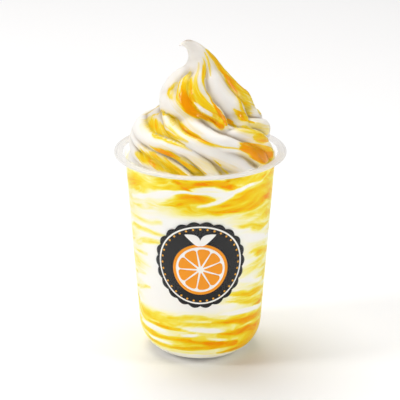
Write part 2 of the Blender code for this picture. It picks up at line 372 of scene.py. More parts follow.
@dataclass(frozen=True)
class RippledSoftServe:
    """Vanilla soft serve with fruit sauce rippled in by the machine.

    The cream is a frozen foam of fat and fine air: light goes a few millimetres into it, so it
    has no hard shadow, and its skin is satin. Its colour carries painted shade: white on the
    crests, darker and beige in the creases, by how deep each point lies. The sauce is a clear gel
    whose colour deepens with its thickness, from a lemon smear over gold to orange where it lies
    thick, and there it is wet and shines. Against the cup's wall there is no air to mirror in.
    """

    place: str
    mirror: float
    cream: str = "#FCF9F3"
    cream_shade: str = "#F5F1E9"
    # painted shade for the creases, multiplied in by how deep a point lies: none on crests, beige
    # deep in creases
    crease: tuple[tuple[float, str], ...] = (
        (0.0, "#FFFFFF"), (0.35, "#F3F1F0"), (0.55, "#E4E0DC"), (0.78, "#CEC5BB"), (1.0, "#B5A796"),
    )
    sauce: tuple[tuple[float, str], ...] = (
        (0.0, "#FBF7EE"), (0.12, "#FAF4D2"), (0.28, "#F9EE9C"), (0.46, "#F6E354"),
        (0.64, "#F3D424"), (0.82, "#F3C008"), (0.92, "#F4A902"), (1.0, "#F49300"),
    )
    # how much of the painted crease shade is left under the thickest sauce
    crease_shade_under_sauce: float = 0.25
    streak_mm: float = 5.0
    streak_strength: float = 1.15
    thread_mm: float = 1.1
    thread_strength: float = 0.6
    parted_from: float = 0.45
    pooled_from: float = 0.85
    pooled_share: float = 0.12
    covered_from: float = 0.12
    satin: float = 0.4
    wet_gloss: float = 0.13
    wet_range: tuple[float, float] = (0.3, 0.8)
    grain_mm: float = 0.5
    grain_share: float = 0.25
    relief_mm: float = 0.25
    relief_strength: float = 0.4
    mottle_mm: float = 12.0
    index: float = 1.42
    scatter: float = 0.35
    scatter_mm: float = 1.6
    scatter_colour: tuple[float, float, float] = (1.0, 0.85, 0.7)

    def thickness(self, tree: NodeTree, streaks: NodeSocket, threads: NodeSocket,
                  ripple: NodeSocket) -> NodeSocket:
        """Part the sauce by streaks and threads, which leave clean cream and thick pools alone.

        Args:
            tree: the material's tree.
            streaks: noise along the flow.
            threads: finer noise along the flow.
            ripple: how much sauce the mesh carries.

        Returns:
            How thick the sauce is, from 0 to 1.
        """
        broad, fine = [add_node(tree, "ShaderNodeMapRange", {"clamp": False},
                                {"To Min": -strength / 2, "To Max": strength / 2}, {"Value": source})
                       for strength, source in ((self.streak_strength, streaks),
                                                (self.thread_strength, threads))]
        both = add_node(tree, "ShaderNodeMath", {"operation": "ADD"}, None,
                        {0: broad.outputs[0], 1: fine.outputs[0]})
        near_sauce = add_node(tree, "ShaderNodeMapRange", {"interpolation_type": "SMOOTHSTEP"},
                              {"From Min": 0.0, "From Max": self.parted_from}, {"Value": ripple})
        pooled = add_node(tree, "ShaderNodeMapRange", {"interpolation_type": "SMOOTHSTEP"},
                          {"From Min": self.pooled_from, "From Max": 1.0, "To Min": 1.0,
                           "To Max": self.pooled_share}, {"Value": ripple})
        parted = add_node(tree, "ShaderNodeMath", {"operation": "MULTIPLY"}, None,
                          {0: near_sauce.outputs[0], 1: pooled.outputs[0]})
        total = add_node(tree, "ShaderNodeMath", {"operation": "MULTIPLY_ADD", "use_clamp": True},
                         None, {0: both.outputs[0], 1: parted.outputs[0], 2: ripple})
        return total.outputs[0]

    def colour(self, tree: NodeTree, thickness: NodeSocket, place: NodeSocket) -> NodeSocket:
        """Colour cream and sauce, with painted shade darkening the creases.

        Args:
            tree: the material's tree.
            thickness: how thick the sauce is.
            place: the point in the object.

        Returns:
            The colour.
        """
        mottle = add_node(tree, "ShaderNodeTexNoise", None,
                          {"Scale": 1 / (self.mottle_mm * MM), "Detail": 2.0}, {"Vector": place})
        cream = add_node(tree, "ShaderNodeMix", {"data_type": "RGBA"},
                         {6: linear(self.cream), 7: linear(self.cream_shade)},
                         {0: mottle.outputs["Fac"]})
        sauce = add_node(tree, "ShaderNodeValToRGB", None, None, {0: thickness})
        fill_ramp(sauce, self.sauce)
        cover = add_node(tree, "ShaderNodeMapRange", None,
                         {"From Min": 0.0, "From Max": self.covered_from}, {"Value": thickness})
        rippled = add_node(tree, "ShaderNodeMix", {"data_type": "RGBA"}, None,
                           {0: cover.outputs[0], 6: cream.outputs[2], 7: sauce.outputs["Color"]})
        # painted shade: each point is darkened by how deep it lies in a crease, less so under thick
        # sauce
        hollow = add_node(tree, "ShaderNodeAttribute", {"attribute_name": "hollow"})
        painted_crease_shade = add_node(tree, "ShaderNodeValToRGB", None, None, {0: hollow.outputs["Fac"]})
        fill_ramp(painted_crease_shade, self.crease)
        shade_share = add_node(tree, "ShaderNodeMapRange", None,
                        {"To Min": 1.0, "To Max": self.crease_shade_under_sauce}, {"Value": thickness})
        shaded = add_node(tree, "ShaderNodeMix", {"data_type": "RGBA", "blend_type": "MULTIPLY"},
                          None, {0: shade_share.outputs[0], 6: rippled.outputs[2],
                                 7: painted_crease_shade.outputs["Color"]})
        return shaded.outputs[2]

    def material(self) -> Material:
        """Build the material; the mesh carries how thick the sauce is and which way it flows.

        Returns:
            The material.
        """
        material, tree = new_material(f"rippled_soft_serve_{self.place}")
        ripple = add_node(tree, "ShaderNodeAttribute", {"attribute_name": "ripple"})
        flow = add_node(tree, "ShaderNodeAttribute", {"attribute_name": "flow"})
        place = add_node(tree, "ShaderNodeTexCoord")
        streaks = add_node(tree, "ShaderNodeTexNoise", None,
                           {"Scale": 1 / self.streak_mm, "Detail": 3.0, "Roughness": 0.5,
                            "Distortion": 0.4}, {"Vector": flow.outputs["Vector"]})
        threads = add_node(tree, "ShaderNodeTexNoise", None,
                           {"Scale": 1 / self.thread_mm, "Detail": 2.0, "Roughness": 0.5},
                           {"Vector": flow.outputs["Vector"]})
        thickness = self.thickness(tree, streaks.outputs["Fac"], threads.outputs["Fac"],
                                   ripple.outputs["Fac"])
        wet = add_node(tree, "ShaderNodeMapRange", {"interpolation_type": "SMOOTHSTEP"},
                       {"From Min": self.wet_range[0], "From Max": self.wet_range[1],
                        "To Min": self.satin, "To Max": self.wet_gloss}, {"Value": thickness})
        grain = add_node(tree, "ShaderNodeTexNoise", None,
                         {"Scale": 1 / (self.grain_mm * MM), "Detail": 2.0},
                         {"Vector": place.outputs["Object"]})
        relief = add_node(tree, "ShaderNodeMath", {"operation": "MULTIPLY_ADD"},
                          {1: self.grain_share},
                          {0: grain.outputs["Fac"], 2: threads.outputs["Fac"]})
        bump = add_node(tree, "ShaderNodeBump", None,
                        {"Strength": self.relief_strength, "Distance": self.relief_mm * MM},
                        {"Height": relief.outputs[0]})
        shader = add_node(tree, "ShaderNodeBsdfPrincipled", None,
                          {"IOR": self.index, "Specular IOR Level": self.mirror,
                           "Subsurface Weight": self.scatter,
                           "Subsurface Radius": self.scatter_colour,
                           "Subsurface Scale": self.scatter_mm * MM},
                          {"Base Color": self.colour(tree, thickness, place.outputs["Object"]),
                           "Roughness": wet.outputs[0], "Normal": bump.outputs[0]})
        show(tree, shader.outputs[0])
        return material


# in the open, thin sauce is apricot instead of lemon
SAUCE_IN_THE_OPEN = (
    (0.0, "#FBF7EE"), (0.12, "#F7ECD0"), (0.28, "#F6E4A2"), (0.46, "#F5DD58"),
    (0.64, "#F4D224"), (0.82, "#F4C206"), (0.92, "#F5AF02"), (1.0, "#F59C00"),
)


@dataclass(frozen=True)
class ThermoformedPet:
    """Clear PET sheet, heated and drawn into a mould.

    The wall is clear, with a mirror gloss on its outside that grows towards the cup's edges. The
    rolled rim was stretched least and is seen through more of the sheet, so it is milky.
    """

    haze: str = "#F2F1F1"
    wall_haze: float = 0.0
    rim_haze: float = 0.7
    rim_start_mm: float = 42.2
    rim_full_mm: float = 43.4
    gloss_index: float = 1.3
    gloss_share: float = 0.55
    glow_share: float = 0.4
    roughness: float = 0.05

    def material(self) -> Material:
        """Build the material."""
        material, tree = new_material("thermoformed_clear_pet")
        place = add_node(tree, "ShaderNodeTexCoord")
        flat = add_node(tree, "ShaderNodeVectorMath", {"operation": "MULTIPLY"},
                        {1: (1.0, 1.0, 0.0)}, {0: place.outputs["Object"]})
        radius = add_node(tree, "ShaderNodeVectorMath", {"operation": "LENGTH"}, None,
                          {0: flat.outputs[0]})
        milky = add_node(tree, "ShaderNodeMapRange", {"interpolation_type": "SMOOTHSTEP"},
                         {"From Min": self.rim_start_mm * MM, "From Max": self.rim_full_mm * MM,
                          "To Min": self.wall_haze, "To Max": self.rim_haze},
                         {"Value": radius.outputs["Value"]})
        # the sheet is thin, so it mirrors the room on the side that light comes from alone
        side = add_node(tree, "ShaderNodeNewGeometry")
        outside = add_node(tree, "ShaderNodeMapRange", None,
                           {"To Min": self.gloss_share, "To Max": 0.0},
                           {"Value": side.outputs["Backfacing"]})
        fresnel = add_node(tree, "ShaderNodeFresnel", None, {"IOR": self.gloss_index})
        gloss = add_node(tree, "ShaderNodeMath", {"operation": "MULTIPLY"}, None,
                         {0: fresnel.outputs[0], 1: outside.outputs[0]})
        clear = add_node(tree, "ShaderNodeBsdfTransparent", None, {"Color": linear("#FFFFFF")})
        white = add_node(tree, "ShaderNodeBsdfDiffuse", None, {"Color": linear(self.haze)})
        glow = add_node(tree, "ShaderNodeBsdfTranslucent", None, {"Color": linear(self.haze)})
        milk = add_node(tree, "ShaderNodeMixShader", None, {0: self.glow_share},
                        {1: white.outputs[0], 2: glow.outputs[0]})
        mirror = add_node(tree, "ShaderNodeBsdfGlossy", None,
                          {"Color": linear("#FFFFFF"), "Roughness": self.roughness})
        body = add_node(tree, "ShaderNodeMixShader", None, None,
                        {0: milky.outputs[0], 1: clear.outputs[0], 2: milk.outputs[0]})
        surface = add_node(tree, "ShaderNodeMixShader", None, None,
                           {0: gloss.outputs[0], 1: body.outputs[0], 2: mirror.outputs[0]})
        show(tree, surface.outputs[0])
        return material


class Ink(Enum):
    """Screen printing inks of the badge, as name and sRGB colour."""

    CHARCOAL = "#1D1D1F"
    ORANGE = "#F79A1E"
    AMBER = "#F7B23A"
    WHITE = "#FBF8F2"


@dataclass(frozen=True)
class ScreenPrint:
    """UV-cured screen printing ink: an opaque, even film with a soft gloss and a slight tooth."""

    ink: Ink
    tooth_mm: float = 0.35
    tooth_share: float = 0.06
    roughness: tuple[float, float] = (0.28, 0.42)
    index: float = 1.48
    mirror: float = 0.25

    def material(self) -> Material:
        """Build the material."""
        material, tree = new_material(f"screen_print_{self.ink.name.lower()}")
        place = add_node(tree, "ShaderNodeTexCoord")
        tooth = add_node(tree, "ShaderNodeTexNoise", None,
                         {"Scale": 1 / (self.tooth_mm * MM), "Detail": 2.0},
                         {"Vector": place.outputs["Object"]})
        strength = add_node(tree, "ShaderNodeMix", {"data_type": "RGBA", "blend_type": "MULTIPLY"},
                            {0: self.tooth_share, 6: linear(self.ink.value)},
                            {7: tooth.outputs["Color"]})
        sheen = add_node(tree, "ShaderNodeMapRange", None,
                         {"To Min": self.roughness[0], "To Max": self.roughness[1]},
                         {"Value": tooth.outputs["Fac"]})
        shader = add_node(tree, "ShaderNodeBsdfPrincipled", None,
                          {"IOR": self.index, "Specular IOR Level": self.mirror},
                          {"Base Color": strength.outputs[2], "Roughness": sheen.outputs[0]})
        show(tree, shader.outputs[0])
        return material


@dataclass(frozen=True)
class StudioPaper:
    """Matt white background paper, with a barely visible unevenness."""

    colour: str = "#FBFAF9"
    cloud_mm: float = 180.0
    roughness: tuple[float, float] = (0.8, 0.9)

    def material(self) -> Material:
        """Build the material."""
        material, tree = new_material("matt_white_paper")
        place = add_node(tree, "ShaderNodeTexCoord")
        cloud = add_node(tree, "ShaderNodeTexNoise", None,
                         {"Scale": 1 / (self.cloud_mm * MM), "Detail": 2.0},
                         {"Vector": place.outputs["Object"]})
        shade = add_node(tree, "ShaderNodeMapRange", None,
                         {"To Min": self.roughness[0], "To Max": self.roughness[1]},
                         {"Value": cloud.outputs["Fac"]})
        shader = add_node(tree, "ShaderNodeBsdfPrincipled", None,
                          {"Base Color": linear(self.colour)}, {"Roughness": shade.outputs[0]})
        show(tree, shader.outputs[0])
        return material


# ---------------------------------------------------------------------------------------------
# The cup
# ---------------------------------------------------------------------------------------------


@dataclass
class CupShell:
    """The turned U-shaped cup, in the finer steps that its curves need."""

    height: float = 117.6
    rim_radius: float = 47.5
    rim_bead: float = 0.75
    flange: float = 0.7
    flange_drop: float = 0.45
    lip_fillet: float = 1.6
    underside_fillet: float = 1.2
    wall: float = 0.6
    neck_radius: float = 41.9
    wall_slope: float = math.tan(math.radians(4.0))
    heel_height: float = 17.7
    heel_fullness: float = 2.12
    foot_radius: float = 17.3
    recess_radius: float = 12.4
    recess_depth: float = 1.2
    recess_slope: float = 45.0
    rim_rings: tuple[float, ...] = (43.9, 44.9, 45.8)
    rim_ring_height: float = 0.12
    rim_ring_width: float = 0.5
    rim_ring_form: Crest = ((0.5, 0.0), (0.25, 0.7), (0.0, 1.0), (-0.25, 0.7), (-0.5, 0.0))
    sides: int = 192
    heel_steps: int = 24
    fillet_steps: int = 8
    bead_steps: int = 20
    weld: float = 0.002
    sharp_from: float = 50.0

    def wall_radius(self, height: Any) -> Any:
        """Radius of the outer face at a height above the heel."""
        return self.neck_radius - (self.height - height) * self.wall_slope

    def base_section(self, inset: float) -> list:
        """Section of the recessed underside, inset inside the outer face."""
        corner = inset * math.tan(math.radians(self.recess_slope / 2))
        return [(0.0, self.recess_depth + inset),
                (self.recess_radius + corner, self.recess_depth + inset),
                (self.recess_radius + self.recess_depth + corner, inset)]

    def heel_section(self, inset: float, steps: int) -> list:
        """Step up the rounded heel, a quarter of a full ellipse.

        Args:
            inset: how far inside the outer face.
            steps: the number of steps.

        Returns:
            Points as (distance from Z, height), from the foot to the straight wall.
        """
        reach = self.wall_radius(0.0) - self.foot_radius - inset
        power = 2 / self.heel_fullness
        points = []
        for angle in np.linspace(0.0, math.pi / 2, steps + 1):
            height = self.heel_height - (self.heel_height - inset) * math.cos(angle) ** power
            radius = self.foot_radius + reach * math.sin(angle) ** power + height * self.wall_slope
            points.append((radius, height))
        return points

    def rim_section(self) -> list:
        """Section of the flange, from the outer wall over the bead and its rings to the inside."""
        plate_top = self.height - self.flange_drop
        plate_bottom = plate_top - self.flange
        bead = (self.rim_radius - self.rim_bead, self.height - self.rim_bead)
        under = math.degrees(math.asin((plate_bottom - bead[1]) / self.rim_bead))
        over = math.degrees(math.asin((plate_top - bead[1]) / self.rim_bead))
        inner = self.neck_radius - self.wall
        points = arc((self.neck_radius + self.underside_fillet, plate_bottom - self.underside_fillet),
                     self.underside_fillet, 180, 90, self.fillet_steps)
        points += arc(bead, self.rim_bead, -180 - under, 180 - over, self.bead_steps)
        for middle in reversed(self.rim_rings):
            points += [(middle + side * self.rim_ring_width,
                        plate_top + rise * self.rim_ring_height)
                       for side, rise in self.rim_ring_form]
        points += arc((inner + self.lip_fillet, plate_top - self.lip_fillet), self.lip_fillet,
                      90, 180, self.fillet_steps)
        return points

    def lathe(self) -> GeometryNodeTree:
        """Build the tree that turns a section about Z.

        Returns:
            A tree with the inputs Geometry, Sides and Material. It lays the section's points
            along the columns of a grid, bends the grid round Z and welds its seam and poles.
        """
        tree, (section, sides, finish) = new_tree("lathe", Sides="Int", Material="Material")
        size = add_node(tree, "GeometryNodeAttributeDomainSize", {"component": "MESH"}, None,
                        {"Geometry": section})
        count = size.outputs["Point Count"]
        columns = add_node(tree, "ShaderNodeMath", {"operation": "ADD"}, {1: 1.0}, {0: sides})
        grid = add_node(tree, "GeometryNodeMeshGrid", None, None,
                        {"Vertices X": columns.outputs[0], "Vertices Y": count})
        index = add_node(tree, "GeometryNodeInputIndex")
        row = add_node(tree, "ShaderNodeMath", {"operation": "MODULO"}, None,
                       {0: index.outputs[0], 1: count})
        share = add_node(tree, "ShaderNodeMath", {"operation": "DIVIDE"}, None,
                         {0: index.outputs[0], 1: count})
        column = add_node(tree, "ShaderNodeMath", {"operation": "FLOOR"}, None,
                          {0: share.outputs[0]})
        step = add_node(tree, "ShaderNodeMath", {"operation": "DIVIDE"}, {0: FULL_TURN}, {1: sides})
        angle = add_node(tree, "ShaderNodeMath", {"operation": "MULTIPLY"}, None,
                         {0: column.outputs[0], 1: step.outputs[0]})
        here = add_node(tree, "GeometryNodeInputPosition")
        point = add_node(tree, "GeometryNodeSampleIndex", {"data_type": "FLOAT_VECTOR"}, None,
                         {"Geometry": section, "Value": here.outputs[0],
                          "Index": row.outputs[0]})
        turned = add_node(tree, "ShaderNodeVectorRotate", {"rotation_type": "Z_AXIS"}, None,
                          {"Vector": point.outputs[0], "Angle": angle.outputs[0]})
        bent = add_node(tree, "GeometryNodeSetPosition", None, None,
                        {"Geometry": grid.outputs["Mesh"], "Position": turned.outputs[0]})
        welded = add_node(tree, "GeometryNodeMergeByDistance", None, {"Distance": self.weld * MM},
                          {"Geometry": bent.outputs[0]})
        end_tree(tree, welded.outputs[0], finish)
        return tree

    def build(self) -> Object:
        """Turn the whole section and return the cup."""
        section = self.base_section(0.0) + self.heel_section(0.0, self.heel_steps)
        section += self.rim_section()
        section += reversed(self.heel_section(self.wall, self.heel_steps))
        section += reversed(self.base_section(self.wall))
        points = [(radius, 0.0, height) for radius, height in section]
        finish = ThermoformedPet().material()
        piece = mesh_object("cup_shell", np.array(points), [], finish)
        run_nodes(piece, self.lathe(), {"Sides": self.sides, "Material": finish})
        piece.data.set_sharp_from_angle(angle=math.radians(self.sharp_from))
        return piece


# ---------------------------------------------------------------------------------------------
# The soft serve
# ---------------------------------------------------------------------------------------------


@dataclass
class Coil:
    """The coil above the rim: strings of balls laid under an outline, seen by level rays.

    The outline is the coil's silhouette from the front, as (height, left, right). A crest is
    (azimuth, height, half width) and for sauce also its rise over the outline.
    """

    start: float = 106.0
    top: float = 179.3
    tip_start: float = 166.0
    crease_softness: float = 0.32
    crease_depth: float = 3.0
    deepest_crease: float = 0.35
    ball_spacing: float = 0.6
    fewest_balls: int = 2
    end_share: float = 0.18
    end_sink: float = 1.6
    span_steps: int = 8
    lean_step: float = 2.0
    steepest_lean: float = 2.0
    overhang_lean: float = -0.3
    section_levels: int = 400
    section_rays: int = 72
    silhouette: Crest = (
        (100.0, -47.0, 47.0), (112.0, -44.5, 44.5), (118.0, -41.0, 41.2), (124.0, -39.2, 39.6),
        (130.0, -38.0, 38.6), (134.3, -35.5, 36.8), (138.9, -30.3, 31.0), (141.2, -25.9, 29.8),
        (143.5, -21.9, 29.0), (148.0, -21.9, 27.0), (154.8, -20.2, 21.2), (161.6, -14.6, 15.2),
        (166.0, -8.2, 11.2), (170.5, -6.7, 7.7), (175.0, -8.6, 3.0), (180.0, -10.0, -4.0),
    )
    column_turn: Crest = (
        (106.0, 112.0), (118.0, 74.0), (130.0, 34.0), (139.0, 6.0), (148.0, -10.0),
        (160.0, -20.0), (172.0, -24.0), (180.0, -24.0),
    )
    flow_turn: Crest = (
        (106.0, 180.0), (118.0, 156.0), (125.0, 138.0), (130.0, 118.0), (139.0, 75.0),
        (144.0, 50.0), (150.0, 28.0), (157.0, 14.0), (165.0, 5.0), (180.0, 0.0),
    )
    tip: Crest = (
        (1.6, 159.0, 10.5), (1.3, 163.0, 9.0), (0.4, 167.8, 6.8), (-1.3, 171.5, 5.3),
        (-3.6, 174.8, 3.8), (-6.0, 176.8, 2.6), (-8.2, 177.4, 1.6), (-10.2, 177.0, 0.8),
        (-11.2, 176.5, 0.4),
    )
    ridges: tuple[Crest, ...] = (
        # the last turn of the coil, from the back round the left to the front right
        ((125, 156, 5.0), (160, 153, 9.5), (190, 150.5, 11.0), (212, 148.5, 10.2),
         (230, 146.2, 9.2), (243, 143.8, 8.4), (254, 141.4, 7.8), (265, 139.6, 7.2),
         (276, 137.2, 6.5), (288, 133.5, 5.6), (303, 129.2, 4.0), (320, 122, 3.6),
         (335, 110, 4.0)),
        # the ridges of the wide turn under it, from the top down and then on the right
        ((200, 142.5, 1.2), (214, 141.8, 1.8), (230, 140.0, 2.4), (252, 136.2, 3.4),
         (270, 131.6, 4.2), (289, 124.6, 5.6), (306, 118.5, 6.4), (324, 108, 6.4)),
        ((160, 133.5, 4.0), (178, 134.0, 5.0), (198, 132.8, 5.2), (222, 131.2, 4.0),
         (244, 130.8, 3.2), (256, 129.2, 3.0), (266, 125.4, 3.2), (277, 119.5, 3.6),
         (290, 109, 3.8)),
        ((168, 130.5, 3.0), (186, 128.0, 2.6), (211, 125.6, 2.0), (227, 124.6, 1.8),
         (242, 122.6, 1.8), (257, 118.2, 2.0), (272, 110, 2.4)),
        ((140, 135.0, 4.0), (155, 131.0, 5.0), (172, 126.0, 4.5), (190, 123.2, 4.0),
         (211, 120.3, 3.2), (228, 119.2, 3.2), (246, 115.8, 3.4), (262, 107, 3.6)),
        ((300, 137.6, 2.6), (316, 135.6, 4.2), (332, 129.8, 4.8), (347, 121.5, 5.0),
         (362, 109, 5.2)),
        ((326, 139.0, 4.0), (343, 136.8, 5.2), (360, 131.8, 6.0), (377, 123.5, 6.0),
         (394, 109, 6.0)),
        # the ridges of the peak: the petal, the front, the wide one on the right, the left one
        ((258, 153.0, 1.6), (271, 148.6, 3.0), (284, 144.2, 3.6), (294, 140.0, 3.0)),
        ((262, 174.0, 1.6), (262, 164.0, 4.4), (264, 157.0, 5.4), (273, 150.5, 4.6),
         (286, 144.6, 3.2), (298, 138.8, 2.4)),
        ((301, 174.5, 1.6), (305, 166.0, 4.6), (308, 158.6, 6.8), (312, 150.0, 7.9),
         (318, 143.0, 7.9), (324, 136.5, 5.0)),
        ((184, 172.0, 2.0), (184, 165.0, 5.6), (184, 158.0, 8.0), (184, 152.0, 9.0)),
    )
    back_tier_ridge: Crest = (
        (330, 138.2, 4.4), (345, 135.0, 5.4), (360, 130.0, 6.0), (377, 122.0, 6.0),
        (394, 109, 6.0),
    )
    back_tier_turns: tuple[float, ...] = (41, 79, 113)
    back_peak_ridge: Crest = (
        (-6, 173.5, 1.6), (0, 166.0, 4.4), (4, 158.0, 6.8), (10, 150.0, 8.0), (16, 143.0, 8.0),
        (20, 136.5, 5.0),
    )
    back_peak_turns: tuple[float, ...] = (-14, 32, 78, 118)
    sauce_runs: tuple[Crest, ...] = (
        # a little foot under the long crease, which closes the pit between three ridges
        ((290, 142.4, 1.6, -1.4), (298, 140.2, 2.0, -1.3), (305, 138.6, 2.0, -1.3),
         (312, 137.4, 1.4, -1.5)),
        # the groove of the peak, the pool at the rim, the crease on the left
        ((222, 164, 2.0, -1.0), (231, 160, 4.5, -1.2), (238, 154, 5.6, -1.4),
         (247, 148.5, 5.0, -1.5), (262, 144.8, 3.0, -1.6), (284, 140.9, 2.4, -1.6),
         (298, 138.2, 2.2, -1.4)),
        ((300, 130.0, 3.2, -1.4), (311, 127.0, 5.4, -1.3), (324, 122.4, 6.8, -1.3),
         (340, 118.0, 6.2, -1.4)),
        ((218, 128.4, 2.2, -1.0), (234, 128.0, 2.8, -0.8), (250, 126.0, 2.6, -1.0),
         (266, 119.5, 2.2, -1.0)),
        ((210, 121.8, 2.4, -1.0), (224, 121.8, 4.2, -0.9), (240, 120.2, 4.4, -0.9),
         (256, 116.4, 3.4, -1.0)),
    )

    def __post_init__(self) -> None:
        """Work out the outline and the strings of balls once."""
        self.outline = smooth_points(self.silhouette, self.span_steps)
        crests = [*self.ridges, *self.sauce_runs]
        self.strings = [self.tip_balls()] + [self.ridge_balls(crest) for crest in crests]
        self.strings += [self.ridge_balls(self.back_tier_ridge, turn)
                         for turn in self.back_tier_turns]
        self.strings += [self.ridge_balls(self.back_peak_ridge, turn)
                         for turn in self.back_peak_turns]

    def outline_at(self, height: Any) -> tuple[Any, Any]:
        """Middle (x) and radius of the outline at each height."""
        left = np.interp(height, self.outline[:, 0], self.outline[:, 1])
        right = np.interp(height, self.outline[:, 0], self.outline[:, 2])
        return (left + right) / 2, (right - left) / 2

    def lean(self, height: Any) -> tuple[Any, Any]:
        """Cosine and sine of the outward normal's angle over the horizontal."""
        below = self.outline_at(height - self.lean_step)[1]
        above = self.outline_at(height + self.lean_step)[1]
        slope = (below - above) / (2 * self.lean_step)
        slope = np.clip(slope, self.overhang_lean, self.steepest_lean)
        length = np.sqrt(1 + slope ** 2)
        return 1 / length, slope / length

    def ridge_balls(self, crest: Crest, turned: float = 0.0) -> list[Array]:
        """String balls under a crest that lies on the outline.

        Args:
            crest: the ridge's crest.
            turned: degrees to turn it about Z.

        Returns:
            Centres and radii.
        """
        points = smooth_points(crest, self.span_steps)
        azimuth = np.radians(points[:, 0] + turned)
        height = points[:, 1]
        radii = points[:, 2]
        rise = points[:, 3] if points.shape[1] > 3 else 0.0
        middle, reach = self.outline_at(height)
        flat, up = self.lean(height)
        along = np.linspace(0.0, 1.0, len(points))
        start = np.maximum(0.0, 1 - along / self.end_share)
        end = np.maximum(0.0, (along - 1) / self.end_share + 1)
        rise = rise - self.end_sink * (start ** 2 + end ** 2)
        inward = reach - flat * (radii - rise)
        lowered = height - up * (radii - rise)
        centres = [middle + inward * np.cos(azimuth), inward * np.sin(azimuth), lowered]
        return even_steps(self.ball_spacing, self.fewest_balls, np.stack(centres, axis=1), radii)

    def tip_balls(self) -> list[Array]:
        """String balls along the pulled tip.

        Returns:
            Centres and radii.
        """
        points = smooth_points(self.tip, self.span_steps)
        centres = np.stack([points[:, 0], np.zeros(len(points)), points[:, 1]], axis=1)
        return even_steps(self.ball_spacing, self.fewest_balls, centres, points[:, 2])

    def reach(self, heights: Array, azimuths: Array) -> Array:
        """Measure level rays from the coil's middle to its surface.

        Args:
            heights: one height for each row.
            azimuths: directions in radians, one row for each height.

        Returns:
            The rays' lengths.
        """
        cosines, sines = np.cos(azimuths), np.sin(azimuths)
        middles, outline = self.outline_at(heights)
        depth = np.minimum(self.crease_depth / self.lean(heights)[0],
                           self.deepest_crease * outline)
        core = np.where(heights < self.tip_start, outline - depth, 0.0)
        parts = [np.repeat(core[:, None], azimuths.shape[1], axis=1)]
        for centres, radii in self.strings:
            longest = np.zeros(azimuths.shape)
            for (x, y, z), radius in zip(centres, radii):
                rows = np.abs(heights - z) < radius
                aside = x - middles[rows, None]
                ahead = aside * cosines[rows] + y * sines[rows]
                across = aside * sines[rows] - y * cosines[rows]
                chord = radius ** 2 - (heights[rows, None] - z) ** 2 - across ** 2
                far = np.where(chord > 0, ahead + np.sqrt(np.maximum(chord, 0)), 0.0)
                longest[rows] = np.maximum(longest[rows], far)
            parts.append(longest)
        farthest = np.max(parts, axis=0)
        blend = sum(np.exp((part - farthest) / self.crease_softness) for part in parts)
        return farthest + self.crease_softness * np.log(blend)

    def place(self, heights: Array, azimuths: Array) -> Array:
        """Return the surface's points at heights and directions, as a grid."""
        middles, _ = self.outline_at(heights)
        lengths = self.reach(heights, azimuths)
        levels = np.repeat(heights[:, None], azimuths.shape[1], axis=1)
        return np.stack([middles[:, None] + lengths * np.cos(azimuths),
                         lengths * np.sin(azimuths), levels], axis=2)

    def column_azimuths(self, heights: Array, around: int) -> Array:
        """Directions in radians of the grid's columns, which turn to run along the ridges."""
        turns = smooth_points(self.column_turn, self.span_steps)
        turn = np.interp(heights, turns[:, 0], turns[:, 1])
        return np.radians(turn)[:, None] + np.arange(around) * FULL_TURN / around

    def flow_azimuth(self, points: Array) -> Array:
        """Direction in radians of each point, turned back by how far the flow has turned there."""
        middles, _ = self.outline_at(points[:, 2])
        turns = smooth_points(self.flow_turn, self.span_steps)
        turn = np.radians(np.interp(points[:, 2], turns[:, 0], turns[:, 1]))
        return np.arctan2(points[:, 1], points[:, 0] - middles) - turn

    def depth(self, points: Array) -> Array:
        """How far inside the outline each point lies."""
        middles, outline = self.outline_at(points[:, 2])
        return outline - np.hypot(points[:, 0] - middles, points[:, 1])

    def ring_heights(self, rings: int) -> Array:
        """Heights of rings spaced evenly along the mean section."""
        fine = np.linspace(self.start, self.top, self.section_levels)
        rays = self.column_azimuths(fine, self.section_rays)
        radii = self.reach(fine, rays).mean(axis=1)
        travelled = np.concatenate([[0.0], np.cumsum(np.hypot(np.diff(radii), np.diff(fine)))])
        return np.interp(np.linspace(0.0, travelled[-1], rings), travelled, fine)


@dataclass(frozen=True)
class Cloud:
    """A soft cloud of thin sauce, as wide as given in degrees and millimetres."""

    azimuth: float
    height: float
    width: float
    depth: float
    strength: float

    def cover(self, points: Array) -> Array:
        """Return how much sauce the cloud lays at each point."""
        turn = np.degrees(np.arctan2(points[:, 1], points[:, 0])) - self.azimuth
        aside = ((turn + 180) % 360 - 180) / self.width
        above = (points[:, 2] - self.height) / self.depth
        return self.strength * np.exp(-aside ** 2 - above ** 2)


@dataclass(frozen=True)
class Trail:
    """A stroke laid on a surface: places, half widths and strengths along it."""

    places: Array
    widths: Array
    strengths: Array


@dataclass(frozen=True)
class Stroke:
    """One streak of sauce, or with a negative strength a ribbon of cream folded over it.

    Each point is (azimuth, height, half width, strength). The stroke's edges are as soft as its
    softness, and it fades out over more of its width below and above by its fade.
    """

    points: Crest
    softness: float = 0.5
    fade: tuple[float, float] = (0.0, 0.0)
    step: float = 0.7
    fewest: int = 4
    span_steps: int = 12

    def trail(self, on_surface: Callable[[Array, Array], Array]) -> Trail:
        """Lay the stroke on a surface.

        Args:
            on_surface: gives the surface's points at azimuths in radians and heights.

        Returns:
            The stroke's even places on the surface.
        """
        rows = smooth_points(self.points, self.span_steps)
        places = on_surface(np.radians(rows[:, 0]), rows[:, 1])
        return Trail(*even_steps(self.step, self.fewest, places, rows[:, 2], rows[:, 3]))


FRAY_ROOM = 0.5  # how much wider than its soft edge a stroke may fray, in half widths
BEND_MARGIN = 1.5  # how far round a stroke the flow bends, in reaches
BEND_EVERY = 3  # the flow bends round every third place of a stroke


def near(points: Array, trail: Trail, margin: float) -> Array:
    """Return the numbers of the points that lie within a margin of a trail's box."""
    low = trail.places.min(axis=0) - margin
    high = trail.places.max(axis=0) + margin
    return np.flatnonzero(np.all((points > low) & (points < high), axis=1))


